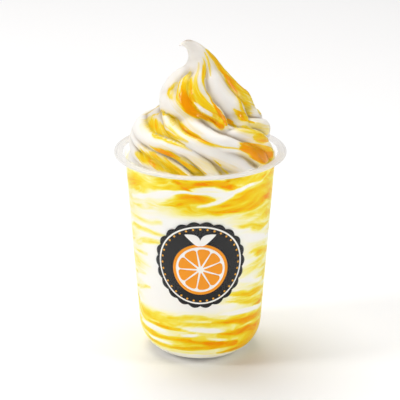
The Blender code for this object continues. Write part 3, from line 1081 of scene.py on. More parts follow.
def paint(points: Array, fray: Array, strokes: Iterable[Stroke], trails: Iterable[Trail],
          base: Array) -> Array:
    """Lay strokes of sauce and cream over one another.

    Args:
        points: the places to colour, already drifted so that edges wander.
        fray: a number for each place that pushes the strokes' edges out or in.
        strokes: the strokes, the lowest first.
        trails: where each stroke lies.
        base: how much sauce each place has before the first stroke.

    Returns:
        How thick the sauce is at each place, from 0 to 1.
    """
    sauce = base.copy()
    for stroke, trail in zip(strokes, trails):
        spread = (1 + stroke.softness) * (1 + max(stroke.fade)) + FRAY_ROOM
        chosen = near(points, trail, trail.widths.max() * spread)
        if not len(chosen):
            continue
        offsets = points[chosen, None, :] - trail.places[None, :, :]
        ratios = np.sqrt((offsets ** 2).sum(axis=2)) / trail.widths[None, :]
        nearest = ratios.argmin(axis=1)
        rows = np.arange(len(chosen))
        above = smoothstep(-0.5, 0.5, offsets[rows, nearest, 2] / trail.widths[nearest])
        reach = 1 + stroke.fade[0] * (1 - above) + stroke.fade[1] * above
        ragged = fray[chosen] * min(1.0, 2 * stroke.softness)
        ratio = (ratios[rows, nearest] + ragged) / reach
        cover = smoothstep(1 + stroke.softness, 1 - stroke.softness, ratio)
        strength = trail.strengths[nearest]
        laid = np.maximum(sauce[chosen], cover * strength)
        lifted = sauce[chosen] * (1 + np.minimum(strength, 0.0) * cover)
        sauce[chosen] = np.where(strength < 0, lifted, laid)
    return np.clip(sauce, 0.0, 1.0)


def bend(points: Array, trails: Iterable[Trail], offsets: Iterable[Array], reach: float) -> Array:
    """Spread how far the strokes stray from straight flow to the points around them.

    Args:
        points: the points.
        trails: where the strokes lie.
        offsets: how far each stroke strays, along its trail.
        reach: beyond this distance in millimetres the flow is straight again.

    Returns:
        How far the flow strays at each point.
    """
    total = np.zeros(len(points))
    weight = np.full(len(points), reach ** -4.0)
    for trail, offset in zip(trails, offsets):
        chosen = near(points, trail, BEND_MARGIN * reach)
        places = trail.places[None, ::BEND_EVERY, :]
        apart = ((points[chosen, None, :] - places) ** 2).sum(axis=2)
        # a place counts by the inverse fourth power of its distance
        share = (apart + 1.0) ** -2.0
        total[chosen] += (share * offset[None, ::BEND_EVERY]).sum(axis=1)
        weight[chosen] += share.sum(axis=1)
    return total / weight


@dataclass
class SoftServe:
    """All the soft serve: the fill that shows through the wall, and the coil over the rim."""

    cup: CupShell
    coil: Coil
    around: int = 396
    coil_rings: int = 240
    fill_step: float = 0.7
    base_shares: tuple[float, ...] = (0.35, 0.7)
    heel_steps: int = 34
    profile_steps: int = 40
    joint_height: float = 114.9
    skirt_inset: float = 0.5
    skirt_steps: tuple[int, ...] = (0, 3, 6)
    wall_bite: float = 0.22
    gap: float = 0.3
    bite_end: tuple[float, float] = (113.0, 117.0)
    mouth_top: float = 119.0
    flow_radius: float = 40.0
    flow_stretch: float = 6.0
    flow_reach: float = 9.0
    broad_wander: Drift = Drift((22.0, 22.0, 8.0), (2.0, 2.0, 1.1))
    fine_wander: Drift = Drift((8.0, 8.0, 3.0), (1.0, 1.0, 0.7), 7.3)
    wall_fray: Drift = Drift((12.0, 12.0, 2.4), 0.4, 3.1)
    marble: Drift = Drift((26.0, 26.0, 4.5), 1.1, 21.7)
    waves: Drift = Drift((34.0, 34.0, 22.0), 6.0, 2.2)
    coil_wander: Drift = Drift((6.0, 6.0, 6.0), 0.6, 5.9)
    coil_fray: Drift = Drift((2.6, 2.6, 2.6), 0.45, 1.7)
    unevenness: Drift = Drift((4.5, 4.5, 4.5), 0.16, 13.1)
    plain_cloud: float = 0.35
    marbled_cloud: float = 1.3
    thickest_cloud: float = 0.75
    sauce_rise: float = 0.25
    sauce_edge: tuple[float, float] = (0.15, 0.7)
    calm_tip: float = 6.0
    stain_spread: float = 1.9
    stain_share: float = 0.26
    stain_softness: float = 0.9
    open_slope: float = 0.38
    near_crease: tuple[float, tuple[int, ...]] = (0.35, (1, 2, 3))
    far_crease: tuple[float, tuple[int, ...]] = (0.16, (4, 7, 10))
    open_flow_from: float = 115.5
    seed: int = 11

    def held_radius(self, heights: Array) -> Array:
        """Widest radius of the contents at each height: just into the wall, then clear of it."""
        clear = smoothstep(*self.bite_end, heights)
        inset = self.cup.wall - self.wall_bite + clear * (self.wall_bite + self.gap)
        room = self.cup.wall_radius(np.minimum(heights, self.cup.height)) - inset
        return np.where(heights < self.mouth_top, room, self.cup.rim_radius)

    def coil_grid(self) -> Array:
        """Rings of the coil, before they are held in by the cup."""
        heights = self.coil.ring_heights(self.coil_rings)
        return self.coil.place(heights, self.coil.column_azimuths(heights, self.around))

    def fill_grid(self, first: Array) -> Array:
        """Rings of the fill under the coil.

        Args:
            first: the coil's lowest ring, whose directions the fill keeps.

        Returns:
            Points from the middle of the base up.
        """
        inset = self.cup.wall - self.wall_bite
        section = self.cup.base_section(inset)[1:]
        section += self.cup.heel_section(inset, self.heel_steps)
        top = section[-1][1]
        heights = np.linspace(top, self.coil.start, round((self.coil.start - top) / self.fill_step))
        section += [(self.held_radius(height), height) for height in heights[1:-1]]
        section = [(share * section[0][0], section[0][1]) for share in self.base_shares] + section
        circle = first[:, :2] / np.linalg.norm(first[:, :2], axis=1, keepdims=True)
        return np.stack([np.column_stack([radius * circle, np.full(self.around, height)])
                         for radius, height in section])

    def hold(self, points: Array) -> Array:
        """Draw points in to where the cup's wall holds the contents."""
        widest = self.held_radius(points[:, 2])
        held = np.minimum(1.0, widest / np.maximum(np.hypot(points[:, 0], points[:, 1]), 1e-6))
        return points * np.column_stack([held, held, np.ones(len(points))])

    def on_coil(self, azimuths: Array, heights: Array) -> Array:
        """Points on the coil; azimuths are seen from the outline's middle."""
        return self.hold(self.coil.place(heights, azimuths[:, None])[:, 0, :])

    def on_wall(self, azimuths: Array, heights: Array) -> Array:
        """Points on the fill where it lies against the wall."""
        profile = np.array(self.cup.heel_section(self.cup.wall, self.profile_steps))
        rounded = np.interp(heights, profile[:, 1], profile[:, 0])
        radii = np.where(heights < self.cup.heel_height, rounded, self.held_radius(heights))
        return np.stack([radii * np.cos(azimuths), radii * np.sin(azimuths), heights], axis=1)

    def wall_ripple(self, points: Array) -> tuple[Array, Array]:
        """Colour the fill.

        Args:
            points: places at the wall.

        Returns:
            How thick the sauce is at each place, and the place in the flow.
        """
        strokes = [*FILL_STROKES, *self.hidden_fill_strokes()]
        trails = [stroke.trail(self.on_wall) for stroke in strokes]
        wander = self.broad_wander.at(points) + self.fine_wander.at(points)
        fray = self.wall_fray.at(points)[:, 0]
        marble = 0.5 + self.marble.at(points + 2 * wander)[:, 1]
        clouds = sum(cloud.cover(points) for cloud in [*FILL_CLOUDS, *self.hidden_clouds()])
        base = np.clip(clouds * (self.plain_cloud + self.marbled_cloud * marble), 0.0,
                       self.thickest_cloud)
        ripple = paint(points + wander, fray, strokes, trails, base)
        strays = [trail.places[:, 2] - trail.places[:, 2].mean() for trail in trails]
        stray = bend(points, trails, strays, self.flow_reach)
        flow = points / (self.flow_stretch, self.flow_stretch, 1.0)
        flow[:, 2] += wander[:, 2] - stray + self.waves.at(points)[:, 2]
        return ripple, flow

    def coil_ripple(self, points: Array, travelled: Array) -> tuple[Array, Array]:
        """Colour the coil, whose cream is stained round each run of sauce.

        Args:
            points: places on the coil.
            travelled: how far up the coil's section each place lies.

        Returns:
            How thick the sauce is at each place, and the place in the flow.
        """
        strokes = [*COIL_STROKES, *self.hidden_coil_strokes()]
        trails = [stroke.trail(self.on_coil) for stroke in strokes]
        azimuths = self.coil.flow_azimuth(points)
        radii = self.flow_radius - self.coil.depth(points)
        flow = np.column_stack([radii * np.cos(azimuths), radii * np.sin(azimuths),
                                travelled / self.flow_stretch])
        drifted = points + self.coil_wander.at(points)
        fray = self.coil_fray.at(flow)[:, 0]
        stains = [Trail(trail.places, self.stain_spread * trail.widths,
                        self.stain_share * np.maximum(trail.strengths, 0.0)) for trail in trails]
        soft = Stroke((), self.stain_softness)
        stained = paint(drifted, fray, [soft] * len(stains), stains, np.zeros(len(points)))
        return paint(drifted, fray, strokes, trails, stained), flow

    def hollows(self, grid: Array) -> Array:
        """Measure how deep each coil point lies between its ridges, which sets its painted shade.

        Args:
            grid: rings of the coil.

        Returns:
            From 0 on a crest to 1 deep in a crease, for each point.
        """
        middles, _ = self.coil.outline_at(grid[:, :, 2])
        reach = np.hypot(grid[:, :, 0] - middles, grid[:, :, 1])
        depth = np.full(reach.shape, self.open_slope)
        around = reach
        for share, shifts in (self.near_crease, self.far_crease):
            for shift in shifts:
                around = (around + np.roll(around, shift, axis=1)
                          + np.roll(around, -shift, axis=1)) / 3
                padded = np.pad(around, ((shift, shift), (0, 0)), mode="edge")
                around = (around + padded[2 * shift:] + padded[:-2 * shift]) / 3
            depth += share * (around - reach)
        return np.clip(depth, 0.0, 1.0).ravel()

    def roughen(self, grid: Array, ripple: Array) -> Array:
        """Raise the sauce a little on the coil, and make its surface uneven.

        Args:
            grid: rings of the coil.
            ripple: how thick the sauce is at each point.

        Returns:
            The coil's points.
        """
        around = np.roll(grid, -1, axis=1) - np.roll(grid, 1, axis=1)
        normals = np.cross(around, np.gradient(grid, axis=0)).reshape(-1, 3)
        normals /= np.maximum(np.linalg.norm(normals, axis=1, keepdims=True), 1e-9)
        points = grid.reshape(-1, 3)
        lift = self.sauce_rise * (smoothstep(*self.sauce_edge, ripple) - 0.5)
        lift += self.unevenness.at(points)[:, 2]
        lift *= smoothstep(self.coil.top, self.coil.top - self.calm_tip, points[:, 2])
        return points + normals * lift[:, None]

    def closed_piece(self, name: str, layers: Sequence[tuple[int, float]], points: Array,
                     values: dict[str, Array], finish: Material) -> Object:
        """Close some of the body's rings to a piece.

        Args:
            name: the piece's name.
            layers: ring numbers from below, each with how far its points are drawn in.
            points: the whole body's points, ring after ring.
            values: numbers or vectors for the material, by name, for each of those points.
            finish: its material.

        Returns:
            The piece, with a sharp edge where its skirt starts.
        """
        rings = [ring for ring, _ in layers]
        body = points.reshape(-1, self.around, 3)[rings]
        flat = body[:, :, :2]
        insets = np.array([inset for _, inset in layers])[:, None, None]
        flat -= insets * flat / np.maximum(np.linalg.norm(flat, axis=2, keepdims=True), 1.0)
        faces = grid_faces(len(rings), self.around, closed=True)
        last = (len(rings) - 1) * self.around
        bottom, top = len(rings) * self.around, len(rings) * self.around + 1
        for side in range(self.around):
            after = (side + 1) % self.around
            faces.append((bottom, after, side))
            faces.append((top, last + side, last + after))
        poles = [body[0].mean(axis=0), body[-1].mean(axis=0)]
        piece = mesh_object(name, np.vstack([body.reshape(-1, 3), poles]), faces, finish)
        mesh = piece.data
        for key, value in values.items():
            chosen = value.reshape(-1, self.around, *value.shape[1:])[rings]
            flat_values = chosen.reshape(-1, *value.shape[1:])
            at_poles = np.stack([chosen[0, 0], chosen[-1, 0]])
            set_attribute(mesh, key, np.concatenate([flat_values, at_poles]))
        self.sharpen(mesh, next(row for row, ring in enumerate(rings) if rings.count(ring) == 2))
        return piece

    def sharpen(self, mesh: Mesh, joint: int) -> None:
        """Mark the edges along two rows of a piece as sharp.

        Args:
            mesh: the piece's mesh, whose points lie row after row.
            joint: the lower of the two rows.
        """
        ends = np.zeros(2 * len(mesh.edges), dtype=int)
        mesh.edges.foreach_get("vertices", ends)
        rows = (ends // self.around).reshape(-1, 2) - joint
        sharp = mesh.attributes.new("sharp_edge", "BOOLEAN", "EDGE")
        sharp.data.foreach_set("value", np.all((rows == 0) | (rows == 1), axis=1)
                               & (rows[:, 0] == rows[:, 1]))

    def build(self) -> list[Object]:
        """Make the body, painted with its ripple.

        Returns:
            The fill and the swirl, which meet behind the rim with a hidden skirt on each.
        """
        # without a seed, noise vectors are drawn from another place on each run
        noise.seed_set(self.seed)
        coil = self.coil_grid()
        fill = self.fill_grid(self.hold(coil[0]))
        steps = np.linalg.norm(np.diff(coil, axis=0), axis=2).mean(axis=1)
        travelled = np.repeat(np.concatenate([[0.0], np.cumsum(steps)]), self.around)
        below = self.hold(np.concatenate([fill, coil]).reshape(-1, 3))
        covered = below[:, 2] < self.bite_end[1]
        ripple, flow = np.zeros(len(below)), np.zeros(below.shape)
        ripple[covered], flow[covered] = self.wall_ripple(below[covered])

        over, over_flow = self.coil_ripple(coil.reshape(-1, 3), travelled)
        split = fill.shape[0] * self.around
        high = below[split:, 2] > self.open_flow_from
        share = smoothstep(self.bite_end[0], self.bite_end[1], below[split:, 2])
        ripple[split:] = share * over + (1 - share) * ripple[split:]
        flow[split:][high] = over_flow[high]
        # how deep each coil point lies in a crease sets its painted shade; the fill gets none
        hollow = np.concatenate([np.zeros(split), share * self.hollows(coil)])
        points = np.vstack([below[:split], self.hold(self.roughen(coil, over))])

        rings = len(fill) + len(coil)
        joint = len(fill) + int(np.searchsorted(coil[:, 0, 2], self.joint_height))
        values = {"ripple": ripple, "flow": flow, "hollow": hollow}
        inside = [(joint + step, self.skirt_inset) for step in self.skirt_steps]
        outside = [(joint - step, self.skirt_inset) for step in reversed(self.skirt_steps)]
        lower = [(ring, 0.0) for ring in range(joint + 1)] + inside
        upper = outside + [(ring, 0.0) for ring in range(joint, rings)]
        pressed = RippledSoftServe("at_the_wall", mirror=0.0).material()
        free = RippledSoftServe("in_the_open", mirror=0.3, sauce=SAUCE_IN_THE_OPEN).material()
        return [self.closed_piece("soft_serve_fill", lower, points, values, pressed),
                self.closed_piece("soft_serve_swirl", upper, points, values, free)]

    def hidden_clouds(self) -> list[Cloud]:
        """Clouds of thin sauce round the back of the fill, drawn by a seeded rule."""
        chance = np.random.default_rng(self.seed + 2)
        return [Cloud(chance.uniform(-15.0, 155.0), height, chance.uniform(25.0, 60.0),
                      chance.uniform(5.0, 12.0), chance.uniform(0.2, 0.5))
                for height in np.linspace(12.0, 108.0, 14)]

    def hidden_fill_strokes(self) -> list[Stroke]:
        """Folds of sauce and cream round the sides and back of the fill, by a seeded rule."""
        chance = np.random.default_rng(self.seed)
        strokes = []
        shares = np.linspace(0.0, 1.0, 6)
        swell = np.sin(np.pi * np.clip(shares, 0.02, 0.98)) ** 0.8
        for height in np.linspace(9.0, 109.0, 17):
            start = chance.uniform(-12.0, 115.0)
            azimuths = start + chance.uniform(45.0, 85.0) * shares
            levels = height + chance.uniform(-8.0, 8.0) * (shares - 0.5)
            levels += chance.uniform(-2.5, 2.5) * swell + chance.uniform(-0.8, 0.8, 6)
            body = 0.25 + chance.uniform(1.2, 3.6) * swell
            strength = chance.uniform(0.55, 0.85) * (0.5 + 0.5 * swell)
            side = chance.choice([-1.0, 1.0])
            fade = (0.7, 0.0) if side > 0 else (0.0, 0.7)
            edge = levels + side * 0.8 * body
            ribbon = levels - side * 1.7 * body
            strokes += [
                Stroke(np.stack([azimuths, levels, body, strength], axis=1), 0.6, fade),
                Stroke(np.stack([azimuths, edge, 0.3 + 0.3 * body, 0.3 + 0.65 * swell], axis=1)),
                Stroke(np.stack([azimuths, ribbon, 0.3 + 0.4 * body, -0.95 * swell], axis=1), 0.4),
            ]
        return strokes

    def hidden_coil_strokes(self) -> list[Stroke]:
        """Sauce between the ridges of the back, by a seeded rule.

        Returns:
            In each crease a golden run with an orange heart, and beside some a lemon smear.
        """
        chance = np.random.default_rng(self.seed + 1)
        strokes = []
        for ridge, turns, pitch in ((self.coil.back_tier_ridge, self.coil.back_tier_turns, 18.0),
                                    (self.coil.back_peak_ridge, self.coil.back_peak_turns, 22.0)):
            for turn in turns:
                crest = np.array(ridge)
                azimuths = crest[:, 0] + turn + pitch
                heights = crest[:, 1] - 1.0
                bulge = chance.uniform(0.3, 1.0, len(crest))
                body = chance.uniform(1.4, 3.6) * bulge
                heart = body * chance.uniform(0.2, 0.6)
                strokes += [
                    Stroke(np.stack([azimuths, heights, body, 0.5 + 0.3 * bulge], axis=1), 0.6),
                    Stroke(np.stack([azimuths, heights, heart, 0.7 + 0.3 * bulge], axis=1)),
                ]
                if chance.uniform() < 0.6:
                    smear = np.stack([azimuths - chance.uniform(8.0, 14.0), heights,
                                      0.6 + chance.uniform(0.8, 2.2) * bulge[::-1],
                                      0.3 + 0.3 * bulge[::-1]], axis=1)
                    strokes.append(Stroke(smear, 0.8))
        return strokes


FILL_CLOUDS = (
    Cloud(270, 110, 400, 5.0, 0.42), Cloud(205, 103, 25, 4.5, 0.3), Cloud(322, 99, 38, 9.0, 0.4),
    Cloud(275, 98, 32, 4.5, 0.34), Cloud(232, 94, 40, 4.0, 0.12), Cloud(338, 66, 26, 24.0, 0.28),
    Cloud(196, 70, 18, 30.0, 0.2), Cloud(315, 44, 30, 9.0, 0.2), Cloud(270, 28, 90, 5.0, 0.3),
    Cloud(270, 15, 400, 9.0, 0.3), Cloud(318, 15, 36, 9.0, 0.4),
)

FILL_STROKES = (
    # under the rim: a golden band, vivid on the left, with two orange patches and a pale gap
    Stroke(((188, 103, 2.4, 0.5), (199, 104.6, 3.4, 0.62), (209, 106.2, 3.8, 0.66),
            (219, 108.0, 3.2, 0.5), (234, 108.8, 3.2, 0.36), (250, 110.4, 2.4, 0.46),
            (262, 111.4, 1.8, 0.62), (280, 111.2, 2.0, 0.66), (296, 110.2, 2.4, 0.62),
            (312, 109.6, 2.6, 0.6), (328, 109.0, 2.4, 0.6), (345, 107.5, 2.2, 0.5),
            (362, 106.0, 1.2, 0.35), (374, 105.4, 0.4, 0.2)), 0.7, (0.0, 0.8)),
    Stroke(((196, 100.6, 0.8, 0.5), (204, 101.2, 1.2, 0.62), (211, 103.0, 1.2, 0.64),
            (218, 106.0, 0.8, 0.5))),
    Stroke(((247, 112.2, 1.0, 0.6), (252, 111.0, 2.4, 0.8), (257, 109.2, 2.6, 0.85),
            (262, 107.6, 1.5, 0.84), (266, 106.8, 0.6, 0.7)), 0.5),
    Stroke(((255, 112.4, 0.8, 0.8), (265, 112.2, 1.5, 0.84), (277, 112.0, 1.6, 0.82),
            (290, 111.8, 1.5, 0.84)), 0.4),
    Stroke(((264, 108.6, 0.8, -0.6), (269, 108.6, 1.6, -0.8), (276, 108.4, 1.9, -0.86),
            (283, 107.2, 1.5, -0.86), (289, 105.8, 0.8, -0.7)), 0.5),
    Stroke(((280, 111.4, 1.2, 0.8), (286, 110.0, 2.4, 0.84), (293, 108.2, 2.4, 0.86),
            (299, 107.0, 1.4, 0.84), (305, 107.4, 0.8, 0.75)), 0.5),
    Stroke(((296, 111.4, 1.0, 0.6), (307, 110.4, 1.6, 0.72), (319, 111.0, 1.2, 0.66)), 0.7),
    # the golden blob on the left, and the fold that widens to the right with cream folded over it
    Stroke(((236, 98.2, 0.8, 0.3), (246, 99.4, 2.0, 0.56), (253, 101.4, 2.9, 0.76),
            (260, 102.9, 3.2, 0.82), (267, 103.5, 2.8, 0.83), (274, 103.4, 2.0, 0.8),
            (281, 102.6, 0.9, 0.7)), 0.6, (0.6, 0.0)),
    Stroke(((272, 97.0, 0.7, 0.5), (278, 96.6, 1.8, 0.78), (285, 96.8, 3.0, 0.84),
            (295, 98.2, 4.2, 0.82), (306, 99.4, 5.0, 0.78), (318, 100.2, 5.6, 0.75),
            (332, 100.0, 5.8, 0.72), (350, 98.4, 4.6, 0.66), (368, 96.2, 2.2, 0.5),
            (384, 94.8, 0.5, 0.25)), 0.4, (0.3, 0.2)),
    Stroke(((276, 95.6, 0.6, 0.7), (284, 94.6, 1.1, 0.88), (294, 94.4, 1.3, 0.88),
            (306, 95.0, 1.2, 0.84), (320, 95.6, 1.0, 0.76)), 0.7, (0.0, 1.2)),
    Stroke(((267, 97.6, 0.4, -0.5), (270, 98.4, 0.6, -0.75), (275, 99.4, 0.8, -0.85),
            (281, 100.6, 0.9, -0.9), (288, 102.2, 1.0, -0.9), (295, 103.8, 1.0, -0.9)), 0.5),
    # a cream ribbon that rises to the right; where it ends under the rim on the right it is also a
    # painted reflection of the lip, white
    Stroke(((203, 96.4, 0.8, -0.6), (214, 98.4, 1.4, -0.85), (229, 101.6, 1.8, -0.95),
            (247, 105.2, 1.6, -1.0), (262, 106.6, 1.0, -1.0), (275, 106.0, 1.1, -1.0),
            (285, 104.6, 1.3, -1.0), (293, 104.6, 1.3, -1.0), (301, 106.2, 1.1, -0.98),
            (310, 106.8, 0.9, -0.95), (319, 107.2, 0.8, -0.95), (328, 108.4, 0.8, -0.9),
            (337, 111.4, 0.8, -0.8)), 0.4),
    # faint smears across the pale middle
    Stroke(((194, 91, 1.2, 0.3), (212, 93.5, 1.8, 0.36), (230, 95.6, 1.8, 0.36),
            (248, 96.4, 1.0, 0.25)), 0.8),
    Stroke(((192, 83, 1.6, 0.25), (210, 84.5, 1.8, 0.28), (236, 87, 1.6, 0.22)), 0.9),
    Stroke(((190, 76.6, 1.4, 0.3), (206, 78.4, 1.6, 0.34), (222, 80, 1.6, 0.36),
            (236, 80.4, 1.2, 0.3), (246, 80, 0.8, 0.15)), 0.8),
    Stroke(((184, 66.5, 1.4, 0.38), (205, 70, 1.6, 0.42), (222, 73.4, 1.6, 0.44),
            (234, 75.2, 1.2, 0.4), (243, 75.6, 0.7, 0.2)), 0.7),
    Stroke(((184, 61.6, 1.2, 0.4), (203, 64, 1.4, 0.4), (219, 65.6, 1.0, 0.3)), 0.7),
    Stroke(((184, 56, 1.2, 0.36), (206, 57, 1.4, 0.4), (223, 57.8, 0.8, 0.25)), 0.7),
    Stroke(((184, 48, 1.2, 0.3), (200, 49.6, 1.4, 0.34), (216, 52, 0.9, 0.22)), 0.8),
    Stroke(((184, 39, 1.2, 0.36), (202, 41.5, 1.4, 0.42), (220, 44.4, 1.0, 0.3)), 0.7),
    Stroke(((296, 84.8, 0.5, 0.3), (303, 83.8, 1.0, 0.46), (312, 82.2, 1.4, 0.54),
            (324, 80, 1.5, 0.56), (338, 78.6, 1.4, 0.5), (352, 77.6, 0.4, 0.25)), 0.7,
           (0.0, 0.6)),
    Stroke(((303, 78.2, 0.8, -0.7), (313, 76.4, 2.2, -0.92), (326, 74.4, 2.6, -0.94),
            (338, 71.8, 2.2, -0.9), (350, 69.5, 1.4, -0.7)), 0.5),
    Stroke(((312, 67.4, 0.6, 0.3), (321, 65.8, 1.8, 0.6), (331, 63.6, 2.9, 0.7),
            (345, 61.6, 2.8, 0.66), (360, 60.4, 1.4, 0.45), (370, 59.8, 0.4, 0.2)), 0.9),
    Stroke(((314, 58.4, 0.6, 0.3), (323, 56.6, 1.5, 0.52), (334, 54.6, 2.3, 0.58),
            (348, 53.0, 1.9, 0.52), (360, 52.2, 0.5, 0.25)), 0.9),
    Stroke(((304, 52.2, 0.8, -0.7), (315, 50.6, 2.0, -0.92), (328, 48.2, 2.2, -0.94),
            (339, 46.0, 1.4, -0.7)), 0.5),
    Stroke(((295, 45.2, 0.5, 0.4), (303, 43.8, 1.1, 0.64), (315, 42.0, 1.6, 0.74),
            (335, 39.4, 1.8, 0.68), (352, 38.0, 1.0, 0.5), (366, 37.2, 0.3, 0.25)), 0.5,
           (0.0, 0.6)),
    Stroke(((295, 40.6, 0.5, 0.4), (304, 38.6, 1.0, 0.6), (316, 36.4, 1.5, 0.72),
            (338, 33.6, 1.6, 0.6), (353, 32.2, 0.8, 0.45), (366, 31.4, 0.3, 0.25)), 0.6,
           (0.0, 0.6)),
    Stroke(((288, 33.8, 0.6, -0.7), (300, 32.8, 1.3, -0.95), (315, 31.2, 1.7, -0.97),
            (330, 29.8, 1.5, -0.95), (343, 28.6, 0.9, -0.7)), 0.4),
    # the heavy sauce round the heel
    Stroke(((188, 35, 1.4, 0.4), (195, 28, 1.8, 0.55), (205, 22.8, 1.6, 0.62),
            (216, 22.4, 1.3, 0.66), (235, 22.9, 1.3, 0.74), (254, 22.6, 1.1, 0.72),
            (266, 21.8, 0.8, 0.6)), 0.5, (0.0, 0.9)),
    Stroke(((222, 27.4, 1.0, 0.45), (240, 29.4, 1.5, 0.55), (262, 31.2, 1.6, 0.55),
            (280, 31.0, 1.3, 0.6), (292, 29.6, 1.0, 0.6)), 0.7),
    Stroke(((280, 28.6, 0.7, 0.65), (296, 27.8, 1.5, 0.88), (312, 26.6, 2.1, 0.96),
            (328, 25.2, 2.4, 0.95), (345, 23.6, 2.2, 0.8), (361, 22.4, 1.1, 0.6),
            (376, 21.6, 0.3, 0.3)), 0.5, (0.2, 0.0)),
    Stroke(((232, 26, 1.2, 0.5), (255, 26.8, 1.7, 0.56), (276, 27.4, 1.6, 0.55)), 0.8),
    Stroke(((198, 17, 1.6, 0.5), (222, 16.8, 1.8, 0.68), (245, 17, 1.8, 0.76),
            (268, 16, 1.6, 0.82), (290, 14.6, 2.0, 0.88)), 0.5),
    Stroke(((212, 11.5, 1.2, 0.6), (230, 10.8, 1.6, 0.74), (248, 11.2, 1.8, 0.82),
            (270, 12.6, 1.6, 0.86), (288, 13, 1.8, 0.9), (304, 13, 2.6, 0.94)), 0.5),
    Stroke(((288, 20.5, 0.8, 0.7), (300, 19.6, 2.0, 0.82), (316, 19, 3.2, 0.88),
            (334, 17.2, 3.6, 0.88), (350, 15.5, 2.8, 0.78), (367, 14.2, 1.2, 0.55),
            (382, 13.4, 0.3, 0.3)), 0.6),
    Stroke(((286, 8.2, 0.7, 0.75), (300, 8, 1.8, 0.9), (318, 8.2, 2.6, 0.94),
            (334, 9, 2.2, 0.86), (349, 9.6, 1.1, 0.6), (362, 10, 0.3, 0.3)), 0.5),
    Stroke(((200, 19.8, 0.8, -0.8), (212, 20.0, 1.6, -0.95), (227, 20.2, 1.6, -0.95),
            (239, 19.4, 0.9, -0.8)), 0.4),
    Stroke(((255, 23.8, 0.6, -0.8), (266, 23.6, 1.3, -0.95), (280, 23.4, 1.5, -1.0),
            (293, 22.2, 1.1, -0.9), (303, 20.6, 0.5, -0.6)), 0.4),
    Stroke(((207, 13.4, 0.6, -0.8), (220, 13.4, 1.1, -0.95), (237, 14.0, 1.1, -0.95),
            (252, 13.8, 0.6, -0.8)), 0.4),
    Stroke(((253, 20, 0.5, -0.8), (262, 19.9, 1.0, -0.95), (275, 19, 1.2, -1.0),
            (288, 16.9, 0.9, -0.9), (297, 15.4, 0.5, -0.6)), 0.4),
    Stroke(((232, 6.8, 0.8, -0.6), (248, 6.6, 1.4, -0.85), (268, 6.4, 1.4, -0.85),
            (284, 6.8, 0.8, -0.6)), 0.6),
)

